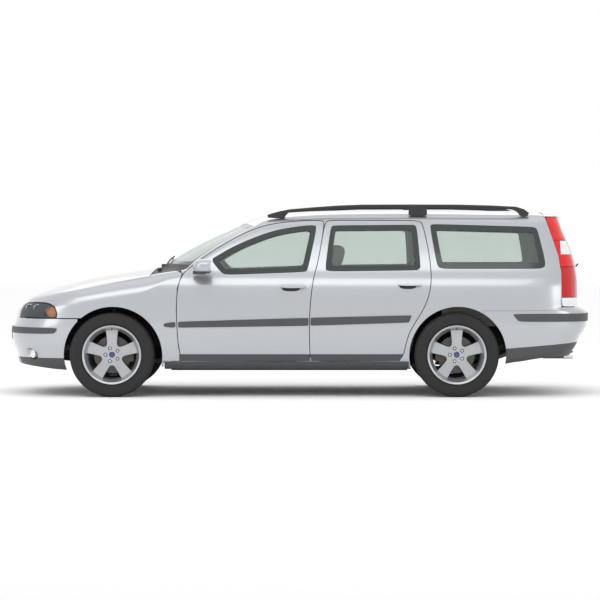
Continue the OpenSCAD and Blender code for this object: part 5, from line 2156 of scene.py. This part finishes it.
    def build_linings(self) -> None:
        """Door cards, headlining, carpets and load space walls."""
        panels, skin, lines = self.panels, self.panels.skin, self.panels.lines
        depth = 62
        for word, outline in (("front", lines.door_front()), ("rear", lines.door_rear())):
            card = skin.shell(depth, 12, [
                prism(grown(rounded(outline, 26), -24), Plane.SIDE, 300, BIG),
                block((-1300, 0, 300), (1100, 1200, 978)),
            ])
            panels.pair(card, f"door_card_{word}", SIDE_CLOTH, "seat_fabric", "", f"door_{word}", depth + 10)
        lining = skin.shell(34, 10, [block((-1975, -545, 1250), (420, 545, 1600))])
        panels.single(lining, "headlining", SIDE_CLOTH, "seat_fabric")
        carpet = join(
            [soft_box((-850, -630, 236), (985, -155, 246), 3), soft_box((-850, 155, 236), (985, 630, 246), 3)]
        )
        finish_piece(carpet, "cabin_carpet", "body", CARPET)
        tunnel = soft_box((-355, -158, 236), (935, 158, 337), 16)
        finish_piece(tunnel, "tunnel_carpet", "body", CARPET)
        boot = soft_box((-2170, -478, 561), (-1000, 478, 570), 3)
        finish_piece(boot, "load_carpet", "body", CARPET)
        for side in Side:
            wall = skin.shell(104, 10, [block((-2080, 0, 565), (-1150, 1200, 985))])
            if side is Side.RIGHT:
                flip_over(wall)
            finish_piece(wall, f"load_wall_{side.word}", "body", SIDE_CLOTH)


@dataclass
class Underbody:
    """Finishes for the parts that are carried over as they are from the CAD model."""

    finishes: dict[str, tuple[Finish, str]] = field(default_factory=lambda: {
        "floor_pan": (UNDERSEAL, "primed_steel"), "engine": (FORGED, "cast_steel"),
        "front_subframe": (FORGED, "cast_steel"), "rear_suspension": (FORGED, "cast_steel"),
        "knuckle_left": (FORGED, "cast_steel"), "knuckle_right": (FORGED, "cast_steel"),
        "exhaust": (EXHAUST, "exhaust_steel"), "tow_eye_socket": (FORGED, "cast_steel"),
    })

    def build(self) -> None:
        """Dresses every carried-over part."""
        for name, (finish, slot) in self.finishes.items():
            obj = bpy.data.objects[name]
            obj.data.materials.clear()
            obj.data.materials.append(finish.make())
            LOG.info("%s keeps its CAD shape", name)


@dataclass
class Studio:
    """Pale floor, soft lights and the camera."""

    eye: Point3 = (-0.0145, 20.89, 1.20)
    aim_z: float = 0.775
    lens: float = 150.6

    def build(self) -> None:
        """Adds floor, world, lights and camera."""
        floor = new_object("studio_floor", [(-60, -60, 0), (60, -60, 0), (60, 60, 0), (-60, 60, 0)], [(0, 1, 2, 3)])
        floor.data.materials.append(FLOOR.make())
        world = bpy.data.worlds.new("studio_air")
        bpy.context.scene.world = world
        bpy.context.scene.view_settings.view_transform = "Standard"
        world.use_nodes = True
        ground = world.node_tree.nodes["Background"]
        ground.inputs["Color"].default_value = linear("ffffff")
        ground.inputs["Strength"].default_value = 1.0
        for name, at, size, power, target in (
            ("key", (1.5, 6.5, 6.5), (9, 3.5), 170, (0, 0, 0.6)),
            ("top", (0, 0, 6.0), (8, 3.5), 25, (0, 0, 0)),
            ("fill", (-6.5, 6.0, 2.4), (3, 3), 60, (-1, 0, 0.7)),
            ("front", (7.0, 5.0, 2.6), (3, 3), 60, (1, 0, 0.7)),
            ("back", (0, -7.0, 4.5), (8, 3), 40, (0, 0, 0.7)),
        ):
            data = bpy.data.lights.new(name, "AREA")
            data.shape = "RECTANGLE"
            data.size, data.size_y = size
            data.energy = power
            lamp = bpy.data.objects.new(name, data)
            lamp.location = at
            lamp.rotation_euler = (Vector(target) - Vector(at)).to_track_quat("-Z", "Y").to_euler()
            bpy.context.scene.collection.objects.link(lamp)
        data = bpy.data.cameras.new("photo_view")
        data.lens = self.lens
        data.sensor_width = 36
        camera = bpy.data.objects.new("photo_view", data)
        camera.location = self.eye
        aim = Vector((self.eye[0], 0.8, self.aim_z)) - Vector(self.eye)
        camera.rotation_euler = aim.to_track_quat("-Z", "Y").to_euler()
        bpy.context.scene.collection.objects.link(camera)
        bpy.context.scene.camera = camera
        LOG.info("studio is ready")


def main() -> None:
    """Builds the whole car and its studio."""
    logging.basicConfig(level=logging.INFO, format="%(message)s")
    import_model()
    skin = Skin(BodySurface())
    skin.prepare()
    panels = BodyPanels(skin, BodyLines())
    panels.build_sides()
    panels.build_doors()
    panels.build_front()
    panels.build_rear()
    panels.build_top()
    panels.build_trim()
    lamps = Lamps(panels)
    lamps.build_front()
    lamps.build_rear()
    Details(panels).build()
    Cabin(panels).build()
    for code, side in (("fl", Side.LEFT), ("fr", Side.RIGHT), ("rl", Side.LEFT), ("rr", Side.RIGHT)):
        Wheel(code, side).build()
    Underbody().build()
    skin.clear()
    Studio().build()
    bpy.context.view_layer.update()


if __name__ == "__main__":
    main()
